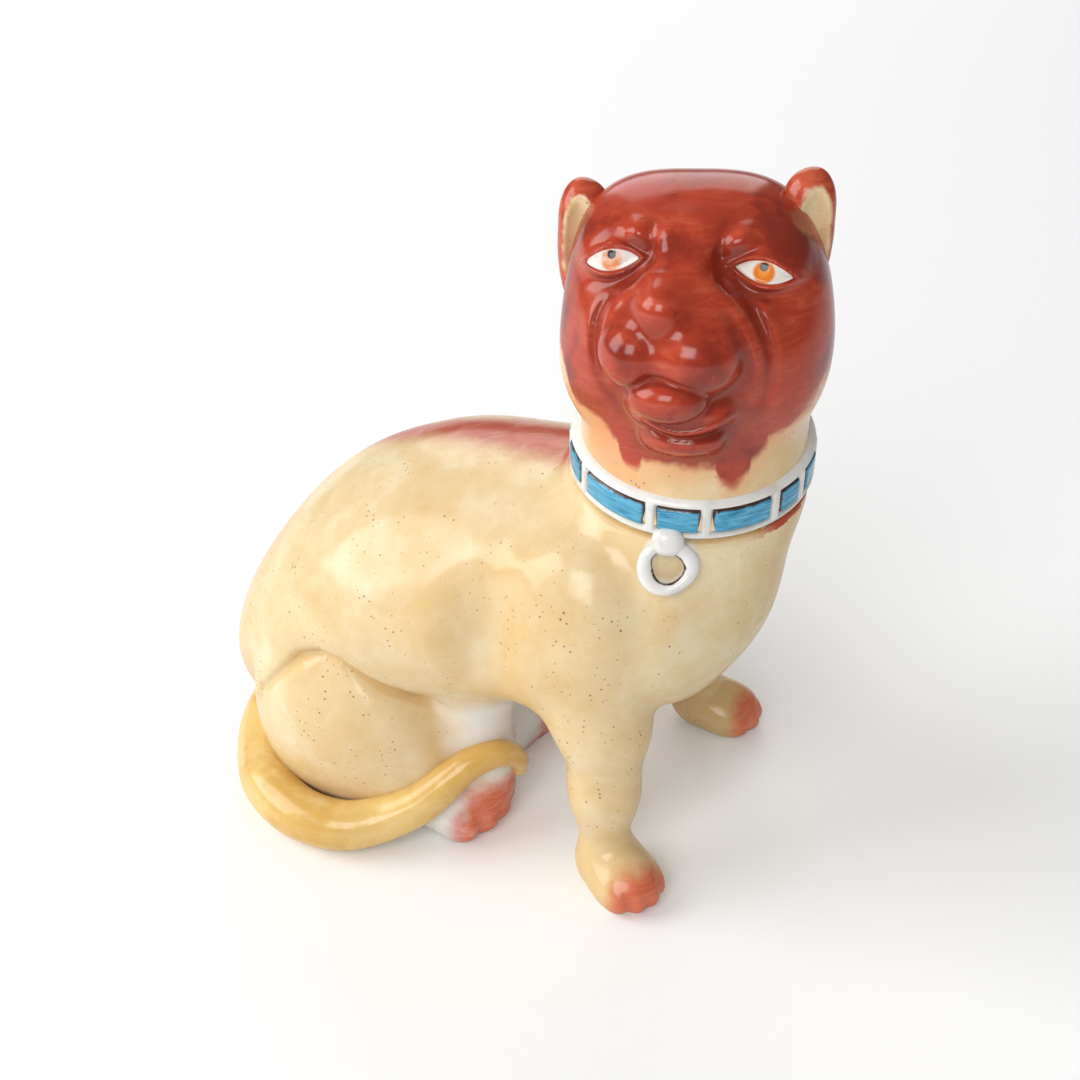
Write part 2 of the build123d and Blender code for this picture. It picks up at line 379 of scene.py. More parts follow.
def oval_rows(rows):
    """Even rows of y, middle height, squared half height and half height over half width: a cubic in y
    between the given rows, with the slopes of their neighbours."""
    y, low, high, half = rows.T
    tall = (high - low) / 2
    values = np.column_stack([(low + high) / 2, tall ** 2, tall / half])
    slope = np.gradient(values, y, axis=0)
    at = np.linspace(y[0], y[-1], 400)
    i = np.clip(np.searchsorted(y, at) - 1, 0, len(y) - 2)
    wide = (y[i + 1] - y[i])[:, None]
    u = (at - y[i])[:, None] / wide
    curve = ((2 * u ** 3 - 3 * u ** 2 + 1) * values[i] + (u ** 3 - 2 * u ** 2 + u) * wide * slope[i]
             + (3 * u ** 2 - 2 * u ** 3) * values[i + 1] + (u ** 3 - u ** 2) * wide * slope[i + 1])
    return np.column_stack([at, curve])


TORSO = oval_rows(TORSO_ROWS)
TORSO_END_FALL = (120.0, 80.0)


def torso_level(x, y, z):
    """Squared height over the oval's middle, with x scaled to the oval, less its squared half height."""
    mid, square, ratio = (np.interp(y, TORSO[:, 0], TORSO[:, i]) for i in (1, 2, 3))
    square = square - TORSO_END_FALL[0] * np.maximum(TORSO[0, 0] - y, 0)
    square = square - TORSO_END_FALL[1] * np.maximum(y - TORSO[-1, 0], 0)
    return (z - mid) ** 2 + (ratio * x) ** 2 - square, 2 * ratio ** 2 * x, 2 * (z - mid), square


def torso(p):
    """The torso's level divided by its slope, which makes it a distance near the surface."""
    x, y, z = p[..., 0], p[..., 1], p[..., 2]
    level, slope_x, slope_z, square = torso_level(x, y, z)
    slope_y = 2 * (torso_level(x, y + 0.5, z)[0] - level)
    slope = np.sqrt(slope_x ** 2 + slope_y ** 2 + slope_z ** 2)
    return level / np.maximum(slope, np.sqrt(np.abs(square)) + 1)


def neck(p):
    """The neck, from inside the chest to inside the head."""
    return chain(p, NECK_ROWS, 8)


def paw(p, place, turn, radii):
    """A paw on the floor: a low ball with four toes in front, parted by grooves."""
    q = (p - np.array([place[0], place[1], 0.0])) @ turn_z(turn)
    width, length, height = radii
    d = ball(q, (0, 0, PAW_RISE * height), radii)
    toes = None
    toe_radii = (0.31 * width, 0.46 * length, 0.56 * height)
    for x, back in TOES:
        toe = ball(q, (x * width, back - 0.62 * length, toe_radii[2]), toe_radii)
        toes = toe if toes is None else blend(toes, toe, 1.8)
    return blend(d, toes, 4)


def foreleg(p, side):
    """One front leg with its paw."""
    rows, turn = FORELEGS[side]
    x, y = rows[-1][:2]
    ahead = turn_z(turn) @ np.array([0, -PAW_REACH, 0])
    return blend(chain(p, rows, 12), paw(p, (x + ahead[0], y + ahead[1]), turn, FOREPAW_RADII), 7)


def hind_leg(p, side):
    """One hind shank with its paw."""
    sign, place, turn = HIND_LEGS[side]
    calf = ball(p, mirrored(CALF[0], sign), CALF[1])
    d = blend(calf, chain(p, SHANKS[side], 8), 14)
    return blend(d, paw(p, place, turn, HIND_PAW_RADII), 8)


def haunches(p):
    """Both thighs and the lap of clay between them."""
    centre, radii, fillet = THIGH
    return heaped(p, ball(p, *LAP), [(mirrored(centre, sign), radii, fillet) for sign in (-1, 1)])


def haunch_step(p):
    """Height of a step along the upper edge of each thigh: seen from the side, the body swells above the line
    and the thigh starts in a groove under it."""
    away, side, (depth,) = beside_line(p[..., 1], p[..., 2], HAUNCH_CREASE)
    above = away * side
    swell = 0.9 * np.exp(-((above - 8) / 8) ** 2) - 1.5 * np.exp(-((above + 1.0) / 2.3) ** 2)
    return swell * depth * soft((np.abs(p[..., 0]) - 28) / 14)


def shoulders(p, d):
    """Shoulder blades, with a hollow behind each."""
    for sign in (-1, 1):
        centre, radii, fillet = SHOULDER
        d = blend(d, ball(p, mirrored(centre, sign), radii), fillet)
        centre, radii, fillet = SHOULDER_HOLLOW
        d = carve(d, ball(p, mirrored(centre, sign), radii), fillet)
    return d


def collar_axes():
    """Across, ahead and along the collar's own axis."""
    axis = unit(np.array([-sin(radians(COLLAR_LEAN)), -sin(radians(COLLAR_TILT)), 1.0]))
    across = unit(np.array([1.0, 0, 0]) - axis[0] * axis)
    return across, np.cross(axis, across), axis


def collar_height_of(p):
    """Height of a point above the collar's middle plane."""
    return (p - COLLAR_CENTRE) @ collar_axes()[2]


def collar_room(p):
    """A groove round the neck that the collar sits in: negative beyond its seat, between two heights."""
    height = collar_height_of(p)
    outward = p - COLLAR_CENTRE - height[..., None] * collar_axes()[2]
    beyond_seat = COLLAR_FLOOR - COLLAR_CLEARANCE - np.linalg.norm(outward, axis=-1)
    return np.maximum(np.abs(height) - COLLAR_HALF_HEIGHT - COLLAR_CLEARANCE, beyond_seat)


def body(p):
    """The whole trunk with legs and lower neck, cut flat on the floor."""
    d = blend(torso(p), neck(p), NECK_FILLET)
    for side in FORELEGS:
        d = blend(d, foreleg(p, side), FORELEG_FILLET)
    d = blend(shoulders(p, d), ball(p, *RUMP_BASE), RUMP_FILLET)
    d = blend(d, haunches(p), HAUNCH_FILLET) - haunch_step(p)
    for side in HIND_LEGS:
        d = blend(d, hind_leg(p, side), HIND_FILLET)
    return trim(carve(d, collar_room(p), 2.5), -p[..., 2], FLOOR_EDGE)


# Head

HEAD_AXES = turn_z(HEAD_TURN) @ turn_x(-HEAD_LIFT) @ turn_y(HEAD_ROLL)


def head_local(p):
    """A point in the head's own axes, where the face looks along -Y."""
    return (p - HEAD_CENTRE) @ HEAD_AXES


def skull(q):
    """Cranium with its wide crown, jowls, cheeks, temples, brows and forehead."""
    d = heaped(q, ball(q, *SKULL), SKULL_BALLS)
    for temple, inner, outer in BROWS:
        d = blend(d, ball(q, temple, TEMPLE_RADII), TEMPLE_FILLET)
        d = blend(d, limb(q, inner, outer, *BROW_RADII), BROW_FILLET)
    return heaped(q, d, [FOREHEAD])


def muzzle(q, d):
    """The domed muzzle with its bridge, jowls, jaw, chin, flews, nose and lower lip added to the skull."""
    d = heaped(q, blend(d, limb(q, *BRIDGE), BRIDGE_FILLET), MUZZLE_BALLS)
    centre, radii, fillet = NOSTRIL
    return heaped(q, carve(d, ball(q, centre, radii), fillet), [LOWER_LIP])


def folds(q, d):
    """Frown lines between the brows, the folds that run from each eye round the muzzle, and the jaw's edge:
    each is a bell of the distance to a curve, seen from the front, with a height and a width along it."""
    for rows in FRONT_FOLDS:
        away, _, (high, wide) = beside_line(q[..., 0], q[..., 2], smooth_rows(np.array(rows, float), 5))
        d = d - high * np.exp(-(away / wide) ** 2) * soft((-8 - q[..., 1]) / 8)
    return d


def almond(q, side):
    """Distance across the face to the edge of an eye's opening, whose outer corner droops."""
    sign, x, z = EYES[side]
    out = sign * (q[..., 0] - x)
    up = q[..., 2] - z + EYE_DROOP * out
    bow = 1 - (out / EYE_HALF_LENGTH) ** 2
    return np.maximum(up - EYE_RISE * bow, -EYE_FALL * bow - up)


def eyes(q, d):
    """Eyeballs that swell from the face, with the rims of the lids round their openings."""
    for _, x, z in EYES.values():
        d = carve(d, ball(q, (x, SOCKET_DEPTH, z), SOCKET_RADII), 6)
        d = blend(d, ball(q, (x, EYE_DEPTH, z), (EYE_RADIUS,) * 3), 3)
    for side, (_, x, z) in EYES.items():
        edge = almond(q, side)
        near = np.exp(-((q[..., 0] - x) ** 2 + (q[..., 2] - z) ** 2) / 160) * (q[..., 1] < FACE_FRONT)
        rim = LID_HEIGHT * np.exp(-((edge - LID_WIDTH) / LID_WIDTH) ** 2)
        d = d - near * (rim - 0.5 * soft(0.5 - edge / 0.8))
    return d


def head(p):
    """The head with the upper neck, cut off just under the collar's middle."""
    q = head_local(p)
    d = eyes(q, folds(q, muzzle(q, skull(q))))
    upper_neck = trim(neck(p), -4 - collar_height_of(p), 1)
    return blend(d, upper_neck, 9)


def ear_local(p, side):
    """A point in an ear's own axes."""
    sign, place = EARS[side]
    return (head_local(p) - np.array(place)) @ turn_y(sign * 5) @ turn_z(EAR_TURN)


def ear_cup(q, side):
    """The shallow hollow of an ear, in the ear's own axes."""
    return ball(q, (EARS[side][0] * 0.8, -9.4, -1), (6.1, 7.2, 18.5))


def ear(p, side):
    """A cupped ear: an upright flap with a shallow hollow in front and a fuller tip that leans forward."""
    q = ear_local(p, side)
    flap = ball(q, (0, 0, 0), (7.8, 7.5, 21.5))
    flap = blend(flap, ball(q, (-EARS[side][0] * 2.5, 0, 13.5), (6.5, 5, 7)), 6)
    return carve(flap, ear_cup(q, side), 1.5)


# Meshes

def slopes(field, p):
    """Gradient of a field at points, from four samples on a tetrahedron."""
    corners = np.array([(1, -1, -1), (-1, 1, -1), (-1, -1, 1), (1, 1, 1)], float)
    return sum(field(p + 0.15 * c)[:, None] * c for c in corners) / (4 * 0.15)


def onto(field, p, rounds, most):
    """Points moved along the slope until the field is zero, each step limited."""
    for _ in range(rounds):
        g = slopes(field, p)
        step = field(p)[:, None] * g / np.maximum((g * g).sum(-1, keepdims=True), 0.05)
        p = p - np.clip(step, -most, most)
    return p


def net_quads(inside, ids):
    """Four cells round each grid edge that crosses the surface, wound so that the face looks outwards."""
    quads = []
    for axis in range(3):
        b, c = np.eye(3, dtype=int)[[(axis + 1) % 3, (axis + 2) % 3]]
        ahead = np.roll(inside, -1, axis)
        low = np.argwhere(inside != ahead)
        low = low[(low[:, axis] < inside.shape[axis] - 1) & (low.min(1) > 0)]
        cells = [ids[tuple((low - offset).T)] for offset in (b + c, c, 0 * b, b)]
        quad = np.stack(cells, 1)
        leaves = inside[tuple(low.T)]
        quads.append(np.where(leaves[:, None], quad, quad[:, ::-1]))
    return np.vstack(quads)


def relaxed(p, quads):
    """Each point at the mean of the points it shares a quad edge with."""
    ends = np.concatenate([quads[:, [i, (i + 1) % 4]] for i in range(4)])
    count = np.bincount(ends[:, 0], minlength=len(p)) + np.bincount(ends[:, 1], minlength=len(p))
    a, b = ends.T
    total = [np.bincount(a, p[b, i], len(p)) + np.bincount(b, p[a, i], len(p)) for i in range(3)]
    return np.stack(total, 1) / count[:, None]


def skin(field, low, high, step):
    """Closed surface where a field is zero: one point in each grid cell that the surface crosses, joined
    across the grid edges that change sign, then relaxed and drawn onto the surface."""
    block = 4
    low = np.asarray(low, float)
    blocks = np.ceil((np.asarray(high, float) - low) / (block * step)).astype(int)
    at = np.stack(np.meshgrid(*[np.arange(n) for n in blocks], indexing="ij"), -1)
    coarse = field((low + (at + 0.5) * block * step).reshape(-1, 3)).reshape(blocks)
    value = coarse
    for axis in range(3):
        value = np.repeat(value, block, axis)
    near = np.argwhere(np.abs(value) < 1.7 * block * step)
    value[tuple(near.T)] = field(low + near * step)
    inside = value < 0
    corners = np.zeros(np.array(inside.shape) - 1, int)
    for shift in np.ndindex(2, 2, 2):
        window = tuple(slice(s, n - 1 + s) for s, n in zip(shift, inside.shape))
        corners += inside[window]
    active = (corners > 0) & (corners < 8)
    ids = np.full(inside.shape, -1)
    cells = np.argwhere(active)
    ids[tuple(cells.T)] = np.arange(len(cells))
    quads = net_quads(inside, ids)
    points = onto(field, low + (cells + 0.5) * step, 3, step)
    for _ in range(2):
        points = onto(field, relaxed(points, quads), 2, step)
    return points, quads


def polar_points(field, centre, axes, angles, columns, reach):
    """Points where rays from a centre leave a form. Rows are the angle from the axes' -Y, columns go round
    it. Each ray is followed inwards by the field's own distance."""
    around = np.arange(columns) * 2 * pi / columns
    a, b = np.meshgrid(angles, around, indexing="ij")
    local = np.stack([np.sin(a) * np.sin(b), -np.cos(a), np.sin(a) * np.cos(b)], -1)
    rays = (local @ axes.T).reshape(-1, 3)
    r = np.full(len(rays), float(reach))
    for _ in range(34):
        r = r - 0.8 * field(centre + r[:, None] * rays)
    return (centre + r[:, None] * rays).reshape(len(angles), columns, 3)


def grid_quads(rows, columns, close_rows=False, close_columns=True, base=0):
    """Quads of a grid of points, row by row; a closed direction joins its last line to its first."""
    i = np.arange(rows if close_rows else rows - 1)
    j = np.arange(columns if close_columns else columns - 1)
    i, j = (x.ravel() for x in np.meshgrid(i, j, indexing="ij"))
    i2, j2 = (i + 1) % rows, (j + 1) % columns
    return base + np.stack([i * columns + j, i * columns + j2, i2 * columns + j2, i2 * columns + j], 1)


def fan(ring, tip):
    """Triangles from a closed ring of points to a tip."""
    return np.stack([ring, np.roll(ring, -1), np.full(len(ring), tip)], 1)


def make_piece(name, points, faces, node, material, normals=None, paint=None, uv=None):
    """A mesh object from points in millimetres and lists of faces, with its paint as point attributes."""
    faces = [np.asarray(f) for f in (faces if isinstance(faces, list) else [faces])]
    loops = np.concatenate([f.ravel() for f in faces])
    sizes = np.concatenate([np.full(len(f), f.shape[1]) for f in faces])
    mesh = bpy.data.meshes.new(name)
    mesh.vertices.add(len(points))
    mesh.vertices.foreach_set("co", (points * MM).astype(np.float32).ravel())
    mesh.loops.add(len(loops))
    mesh.loops.foreach_set("vertex_index", loops.astype(np.int32))
    mesh.polygons.add(len(sizes))
    mesh.polygons.foreach_set("loop_start", np.concatenate([[0], np.cumsum(sizes)[:-1]]).astype(np.int32))
    mesh.update(calc_edges=True)
    mesh.polygons.foreach_set("use_smooth", np.ones(len(sizes), bool))
    for key, values in (paint or {}).items():
        attribute = mesh.attributes.new(key, "FLOAT", "POINT")
        attribute.data.foreach_set("value", np.asarray(values, np.float32))
    if uv is not None:
        mesh.uv_layers.new(name="UVMap").data.foreach_set("uv", uv[loops].astype(np.float32).ravel())
    if normals is not None:
        mesh.normals_split_custom_set_from_vertices(normals)
    piece = bpy.data.objects.new(name, mesh)
    bpy.context.scene.collection.objects.link(piece)
    mesh.materials.append(material)
    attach(piece, "root")
    if node:
        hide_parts(*([node] if isinstance(node, str) else node))
    return piece


# Paint, worked out at each point of a mesh in millimetres

def hollowness(field, p, normals):
    """How hollow a form is at its points: how far the form comes within a reach along the normals. The
    materials darken the hollows by it, as painted shade.
    """
    return HOLLOW_REACH - field(p + HOLLOW_REACH * normals)


def nearest(values):
    """The least of several lists, point by point."""
    return np.minimum.reduce(values)


def toe_paint(p):
    """Distance to the red on the toes: negative on the front of each paw."""
    lines = []
    for rows, turn in FORELEGS.values():
        q = (p - np.array([rows[-1][0], rows[-1][1], 0.0])) @ turn_z(turn)
        behind = q[:, 1] + PAW_REACH
        lines.append(np.maximum(behind + FORE_TOE_LINE, np.hypot(q[:, 0], behind) - TOE_ROOM))
    for _, place, turn in HIND_LEGS.values():
        q = (p - np.array([place[0], place[1], 0.0])) @ turn_z(turn)
        lines.append(np.maximum(q[:, 1] + HIND_TOE_LINE, np.hypot(q[:, 0], q[:, 1]) - TOE_ROOM))
    return np.maximum(nearest(lines), p[:, 2] - TOE_TOP)


def body_paint(p, normals):
    """Distances to the red stripe down the back, the red toes, the bare white clay, the white round the ring
    and the wiped foot, with the depth of hollows for painted shade and the share of the front legs' darker
    ends."""
    x, y, z = p.T
    middle, half = (np.interp(y, STRIPE[:, 0], STRIPE[:, i]) for i in (1, 2))
    stripe = np.where((normals[:, 2] > 0.1) & (z > STRIPE_LOWEST), np.abs(x - middle) - half, FAR)
    across = np.abs(x + 1) - LAP_HALF_WIDTH - SHANK_WHITE * soft((-32 - y) / 10)
    lap = np.maximum.reduce([LAP_FRONT - y, y - LAP_BACK, z - LAP_TOP, across])
    feet = [ball(p, (place[0], place[1] - 2, 6), WHITE_PAW_RADII) for _, place, _ in HIND_LEGS.values()]
    to_ring = p - RING_CENTRE
    halo = np.hypot(np.linalg.norm(to_ring, axis=1) - RING_RADIUS - 0.8, 0.5 * to_ring @ unit(RING_NORMAL))
    low = soft((52 - z) / 40) * (y < -72)
    return {"stripe": stripe, "toe": toe_paint(p), "bare": nearest([lap] + feet), "halo": halo - 2.6,
            "foot": z - WIPED_FOOT, "low": low, "pool": hollowness(body, p, normals)}


def head_paint(p, normals):
    """Distances to the red mask, the whites of the eyes, the irises and the pupils, with the depth of hollows
    for painted shade and the share of blush on the neck and of wear on the right eye."""
    q = head_local(p)
    x, y, z = q.T
    drips = sum(reach * np.sqrt(np.clip(1 - ((x - at) / wide) ** 2, 0, 1)) for at, wide, reach in DRIPS)
    mask = np.maximum(y - MASK_BACK, np.interp(x, *MASK_EDGE.T) - drips - z)
    blush = np.exp(-((q - BLUSH_CENTRE) ** 2).sum(1) / (2 * BLUSH_REACH ** 2))
    white, iris, pupil = [], [], []
    front = np.where(y < FACE_FRONT, 0, FAR)
    for side, (_, at, height) in EYES.items():
        white.append(almond(q, side) + front)
        iris.append(np.hypot(x - at, z - height) - IRIS_RADIUS + front)
        pupil.append(np.hypot(x - at, z - height - PUPIL_RAISED) - PUPIL_RADIUS + front)
    return {"mask": mask, "pool": hollowness(head, p, normals), "blush": blush, "worn": soft(-x / 6),
            "white": nearest(white), "iris": nearest(iris), "pupil": nearest(pupil)}


# Materials

class Graph:
    """Short calls that add nodes to a tree and join them."""

    def __init__(self, tree):
        self.tree = tree

    def put(self, target, value):
        """Joins a socket to a target input, or sets the input to a plain value."""
        if isinstance(value, bpy.types.NodeSocket):
            self.tree.links.new(value, target)
        elif hasattr(target.default_value, "__len__") and not hasattr(value, "__len__"):
            target.default_value = [value] * len(target.default_value)
        elif hasattr(value, "__len__") and len(value) == 3 and len(target.default_value) == 4:
            target.default_value = (*value, 1)
        else:
            target.default_value = value

    def node(self, kind, settings=None, **inputs):
        """A node of a kind, with its settings and its inputs by name."""
        node = self.tree.nodes.new("ShaderNode" + kind)
        for key, value in (settings or {}).items():
            setattr(node, key, value)
        for key, value in inputs.items():
            self.put(node.inputs[key.replace("_", " ")], value)
        return node

    def math(self, operation, *values):
        """A maths node's result."""
        node = self.node("Math", {"operation": operation})
        for target, value in zip(node.inputs, values):
            self.put(target, value)
        return node.outputs[0]

    def mix(self, factor, a, b):
        """Two colours mixed."""
        node = self.node("Mix", {"data_type": "RGBA"})
        for index, value in ((0, factor), (6, a), (7, b)):
            self.put(node.inputs[index], value)
        return node.outputs[2]

    def span(self, value, low, high, to_low=0.0, to_high=1.0, smooth=True):
        """A value carried from one span onto another, with soft ends."""
        kind = "SMOOTHSTEP" if smooth else "LINEAR"
        node = self.node("MapRange", {"interpolation_type": kind})
        for target, number in zip(node.inputs, (value, low, high, to_low, to_high)):
            self.put(target, number)
        return node.outputs[0]

    def attribute(self, name):
        """A point attribute as a value."""
        return self.node("Attribute", {"attribute_name": name}).outputs["Fac"]

    def place(self):
        """Object coordinates."""
        return self.node("TexCoord").outputs["Object"]

    def noise(self, vector, scale, detail=3.0, roughness=0.5, distortion=0.0):
        """A noise texture's value."""
        return self.node("TexNoise", None, Vector=vector, Scale=scale, Detail=detail, Roughness=roughness,
                         Distortion=distortion).outputs[0]

    def scaled(self, vector, scale):
        """A vector stretched along its axes."""
        return self.node("Mapping", None, Vector=vector, Scale=scale).outputs[0]


def group_tree(name, inputs, outputs):
    """An empty shader node group with its sockets, and the graph, inputs and output node to fill it with."""
    tree = bpy.data.node_groups.new(name, "ShaderNodeTree")
    for label, default in inputs.items():
        socket = tree.interface.new_socket(label, in_out="INPUT", socket_type="NodeSocketFloat")
        socket.default_value = default
    for label in outputs:
        tree.interface.new_socket(label, in_out="OUTPUT", socket_type="NodeSocketFloat")
    given, out = tree.nodes.new("NodeGroupInput").outputs, tree.nodes.new("NodeGroupOutput").inputs
    return tree, Graph(tree), given, out


def speck_group():
    """Iron specks: small dots at random places, more of them in patches of a noise."""
    sockets = {"Spacing": 430.0, "Share": 0.75, "Radius": 0.15}
    tree, g, given, out = group_tree("iron_specks", sockets, ["Specks"])
    where = g.place()
    cells = g.node("TexVoronoi", None, Vector=where, Scale=given["Spacing"])
    draw = g.node("SeparateColor", None, Color=cells.outputs["Color"]).outputs[0]
    chosen = g.math("LESS_THAN", draw, given["Share"])
    size = g.math("MULTIPLY", given["Radius"], g.span(g.noise(where, 90, 1), 0.3, 0.7, 0.5, 1.6))
    dot = g.span(cells.outputs["Distance"], size, g.math("MULTIPLY", size, 0.5))
    patch = g.span(g.noise(where, 22, 2), 0.40, 0.58)
    specks = g.math("MULTIPLY", dot, chosen)
    g.put(out["Specks"], g.math("MULTIPLY", specks, g.span(patch, 0, 1, 0.25, 1)))
    return tree


def cloud_group():
    """Pooled colour: broad clouds with finer broken clouds inside them."""
    tree, g, given, out = group_tree("pooled_colour", {"Scale": 18.0}, ["Clouds"])
    where = g.place()
    broad = g.noise(where, given["Scale"], 2, 0.5, 0.6)
    fine = g.noise(where, g.math("MULTIPLY", given["Scale"], 6), 4, 0.6, 0.4)
    g.put(out["Clouds"], g.math("ADD", g.math("MULTIPLY", broad, 0.72), g.math("MULTIPLY", fine, 0.28)))
    return tree


def brush_group():
    """Brush streaks: noise drawn out along one direction, wavering across it."""
    tree, g, given, out = group_tree("brush_streaks", {"Scale": 60.0, "Stretch": 7.0}, ["Streaks"])
    where = g.place()
    thin = g.node("CombineXYZ", None, X=1.0, Y=1.0, Z=given["Stretch"])
    drawn = g.node("VectorMath", {"operation": "MULTIPLY"})
    g.put(drawn.inputs[0], where)
    g.put(drawn.inputs[1], thin.outputs[0])
    g.put(out["Streaks"], g.noise(drawn.outputs[0], given["Scale"], 5, 0.65, 0.9))
    return tree


def ripple_group():
    """Height of the glaze: slow ripples with a fine pitted skin."""
    tree, g, given, out = group_tree("glaze_ripple", {"Ripple": 1.0, "Skin": 0.25}, ["Height"])
    where = g.place()
    slow = g.math("MULTIPLY", g.noise(where, 70, 2), given["Ripple"])
    skin_noise = g.math("MULTIPLY", g.noise(where, 420, 3), given["Skin"])
    g.put(out["Height"], g.math("ADD", slow, skin_noise))
    return tree


def shared(graph, tree, output, **inputs):
    """A shared group placed in a material, and one of its outputs."""
    node = graph.tree.nodes.new("ShaderNodeGroup")
    node.node_tree = bpy.data.node_groups[tree]
    for key, value in inputs.items():
        graph.put(node.inputs[key], value)
    return node.outputs[output]


def glaze(name, coat=0.85, roughness=0.5):
    """A new material with a glazed surface; gives the graph and the shader to feed."""
    material = bpy.data.materials.new(name)
    material.use_nodes = True
    tree = material.node_tree
    shader = tree.nodes["Principled BSDF"]
    shader.inputs["IOR"].default_value = 1.5
    shader.inputs["Roughness"].default_value = roughness
    shader.inputs["Specular IOR Level"].default_value = 0.0
    shader.inputs["Coat Weight"].default_value = coat
    shader.inputs["Coat Roughness"].default_value = 0.17
    shader.inputs["Coat IOR"].default_value = 1.55
    return material, Graph(tree), shader


def relief(g, shader, height, strength, distance=0.0004):
    """A bump on a shader from a height."""
    bump = g.node("Bump", None, Height=height, Strength=strength, Distance=distance)
    g.put(shader.inputs["Normal"], bump.outputs[0])


def cream(g, colours):
    """The cream ground with its amber clouds and iron specks."""
    clouds = shared(g, "pooled_colour", "Clouds", Scale=22.0)
    fine = shared(g, "pooled_colour", "Clouds", Scale=75.0)
    ground = g.mix(g.span(clouds, 0.42, 0.68, 0, 0.75), colours.cream, colours.amber)
    ground = g.mix(g.span(clouds, 0.50, 0.34, 0, 0.8), ground, colours.pale)
    ground = g.mix(g.span(fine, 0.45, 0.75, 0, 0.35), ground, colours.amber)
    specks = shared(g, "iron_specks", "Specks")
    return g.mix(g.math("MULTIPLY", specks, 0.75), ground, colours.iron)


def rough_edge(g, distance, width, wander, scale):
    """A painted edge: one where the paint lies, with an edge that wanders by a noise."""
    noise = g.noise(g.place(), scale, 3, 0.6)
    shifted = g.math("ADD", distance, g.span(noise, 0.25, 0.75, -wander, wander, False))
    return g.span(shifted, width, -width)


def cream_body(colours):
    """Cream body with a red stripe down the back, red toes, bare white under the belly and a wiped foot; its
    hollows are darkened towards amber as painted shade.
    """
    material, g, shader = glaze("cream_body")
    colour = cream(g, colours)
    # Painted shade: hollows mixed towards amber, together with the front legs' darker lower ends.
    pool = g.span(g.attribute("pool"), 0.2, 2.2, 0, 0.7)
    low = g.math("MULTIPLY", g.attribute("low"), 0.45)
    colour = g.mix(g.math("MAXIMUM", pool, low), colour, colours.amber)
    bare = rough_edge(g, g.attribute("bare"), 5.5, 3, 60)
    colour = g.mix(bare, colour, colours.white)
    colour = g.mix(rough_edge(g, g.attribute("halo"), 1.2, 0.8, 130), colour, colours.white)
    streaks = shared(g, "brush_streaks", "Streaks", Scale=70.0)
    stripe = rough_edge(g, g.attribute("stripe"), 9, 4, 45)
    stripe = g.math("MULTIPLY", stripe, g.span(streaks, 0.2, 0.6, 0.75, 1))
    colour = g.mix(stripe, colour, colours.stripe)
    toe = rough_edge(g, g.attribute("toe"), 5, 2.5, 110)
    toe = g.math("MULTIPLY", toe, g.span(streaks, 0.2, 0.6, 0.8, 1))
    toe_red = g.mix(g.span(streaks, 0.3, 0.8, 0, 0.35), colours.toe, colours.toe_dark)
    colour = g.mix(toe, colour, toe_red)
    foot = rough_edge(g, g.attribute("foot"), 0.4, 0.3, 90)
    colour = g.mix(foot, colour, colours.clay)
    g.put(shader.inputs["Base Color"], colour)
    g.put(shader.inputs["Coat Weight"], g.span(foot, 0, 1, 0.7, 0))
    relief(g, shader, shared(g, "glaze_ripple", "Height"), 0.35)
    return material


def red_face(colours):
    """Red-brown brushed mask over the cream, darkened in its hollows as painted shade, with painted eyes."""
    material, g, shader = glaze("red_face")
    ground = cream(g, colours)
    mask_distance = g.attribute("mask")
    near_mask = g.math("MULTIPLY", g.span(mask_distance, 9, 0), 0.5)
    blush = g.math("MAXIMUM", near_mask, g.math("MULTIPLY", g.attribute("blush"), 0.95))
    ground = g.mix(blush, ground, colours.blush)
    streaks = shared(g, "brush_streaks", "Streaks", Scale=55.0, Stretch=5.0)
    clouds = shared(g, "pooled_colour", "Clouds", Scale=30.0)
    thin = g.math("MULTIPLY", g.span(streaks, 0.40, 0.75), g.span(clouds, 0.38, 0.6))
    red = g.mix(thin, colours.mask, colours.mask_light)
    # Painted shade: the mask's hollows take the dark red, as its thick paint does.
    pool = g.span(g.attribute("pool"), 0.2, 1.6, 0, 0.7)
    thick_paint_and_shade = g.math("MAXIMUM", g.span(clouds, 0.50, 0.34, 0, 0.8), pool)
    red = g.mix(thick_paint_and_shade, red, colours.mask_dark)
    mask = rough_edge(g, mask_distance, 2.0, 2.6, 75)
    colour = g.mix(mask, ground, red)
    white = g.span(g.attribute("white"), 0.12, -0.12)
    iris = g.math("MULTIPLY", white, g.span(g.attribute("iris"), 0.5, -0.5))
    pupil = g.math("MULTIPLY", white, g.span(g.attribute("pupil"), 0.25, -0.25))
    colour = g.mix(white, colour, colours.eye_white)
    orange = g.mix(g.span(g.attribute("iris"), -3, -1), colours.iris_light, colours.iris)
    rubbed = g.span(g.noise(g.place(), 420, 2), 0.35, 0.65, 0.15, 0.55)
    worn = g.math("MULTIPLY", g.attribute("worn"), rubbed)
    colour = g.mix(iris, colour, g.mix(worn, orange, colours.eye_white))
    colour = g.mix(pupil, colour, colours.pupil)
    g.put(shader.inputs["Base Color"], colour)
    height = g.math("ADD", shared(g, "glaze_ripple", "Height"), g.math("MULTIPLY", streaks, 0.5))
    relief(g, shader, height, 0.35)
    return material


def red_ear(colours):
    """Red-brown ear with a cream hollow."""
    material, g, shader = glaze("red_ear")
    streaks = shared(g, "brush_streaks", "Streaks", Scale=55.0, Stretch=5.0)
    red = g.mix(g.span(streaks, 0.3, 0.7), colours.mask, colours.mask_light)
    hollow = rough_edge(g, g.attribute("hollow"), 0.8, 1.0, 130)
    g.put(shader.inputs["Base Color"], g.mix(hollow, red, cream(g, colours)))
    relief(g, shader, shared(g, "glaze_ripple", "Height"), 0.35)
    return material


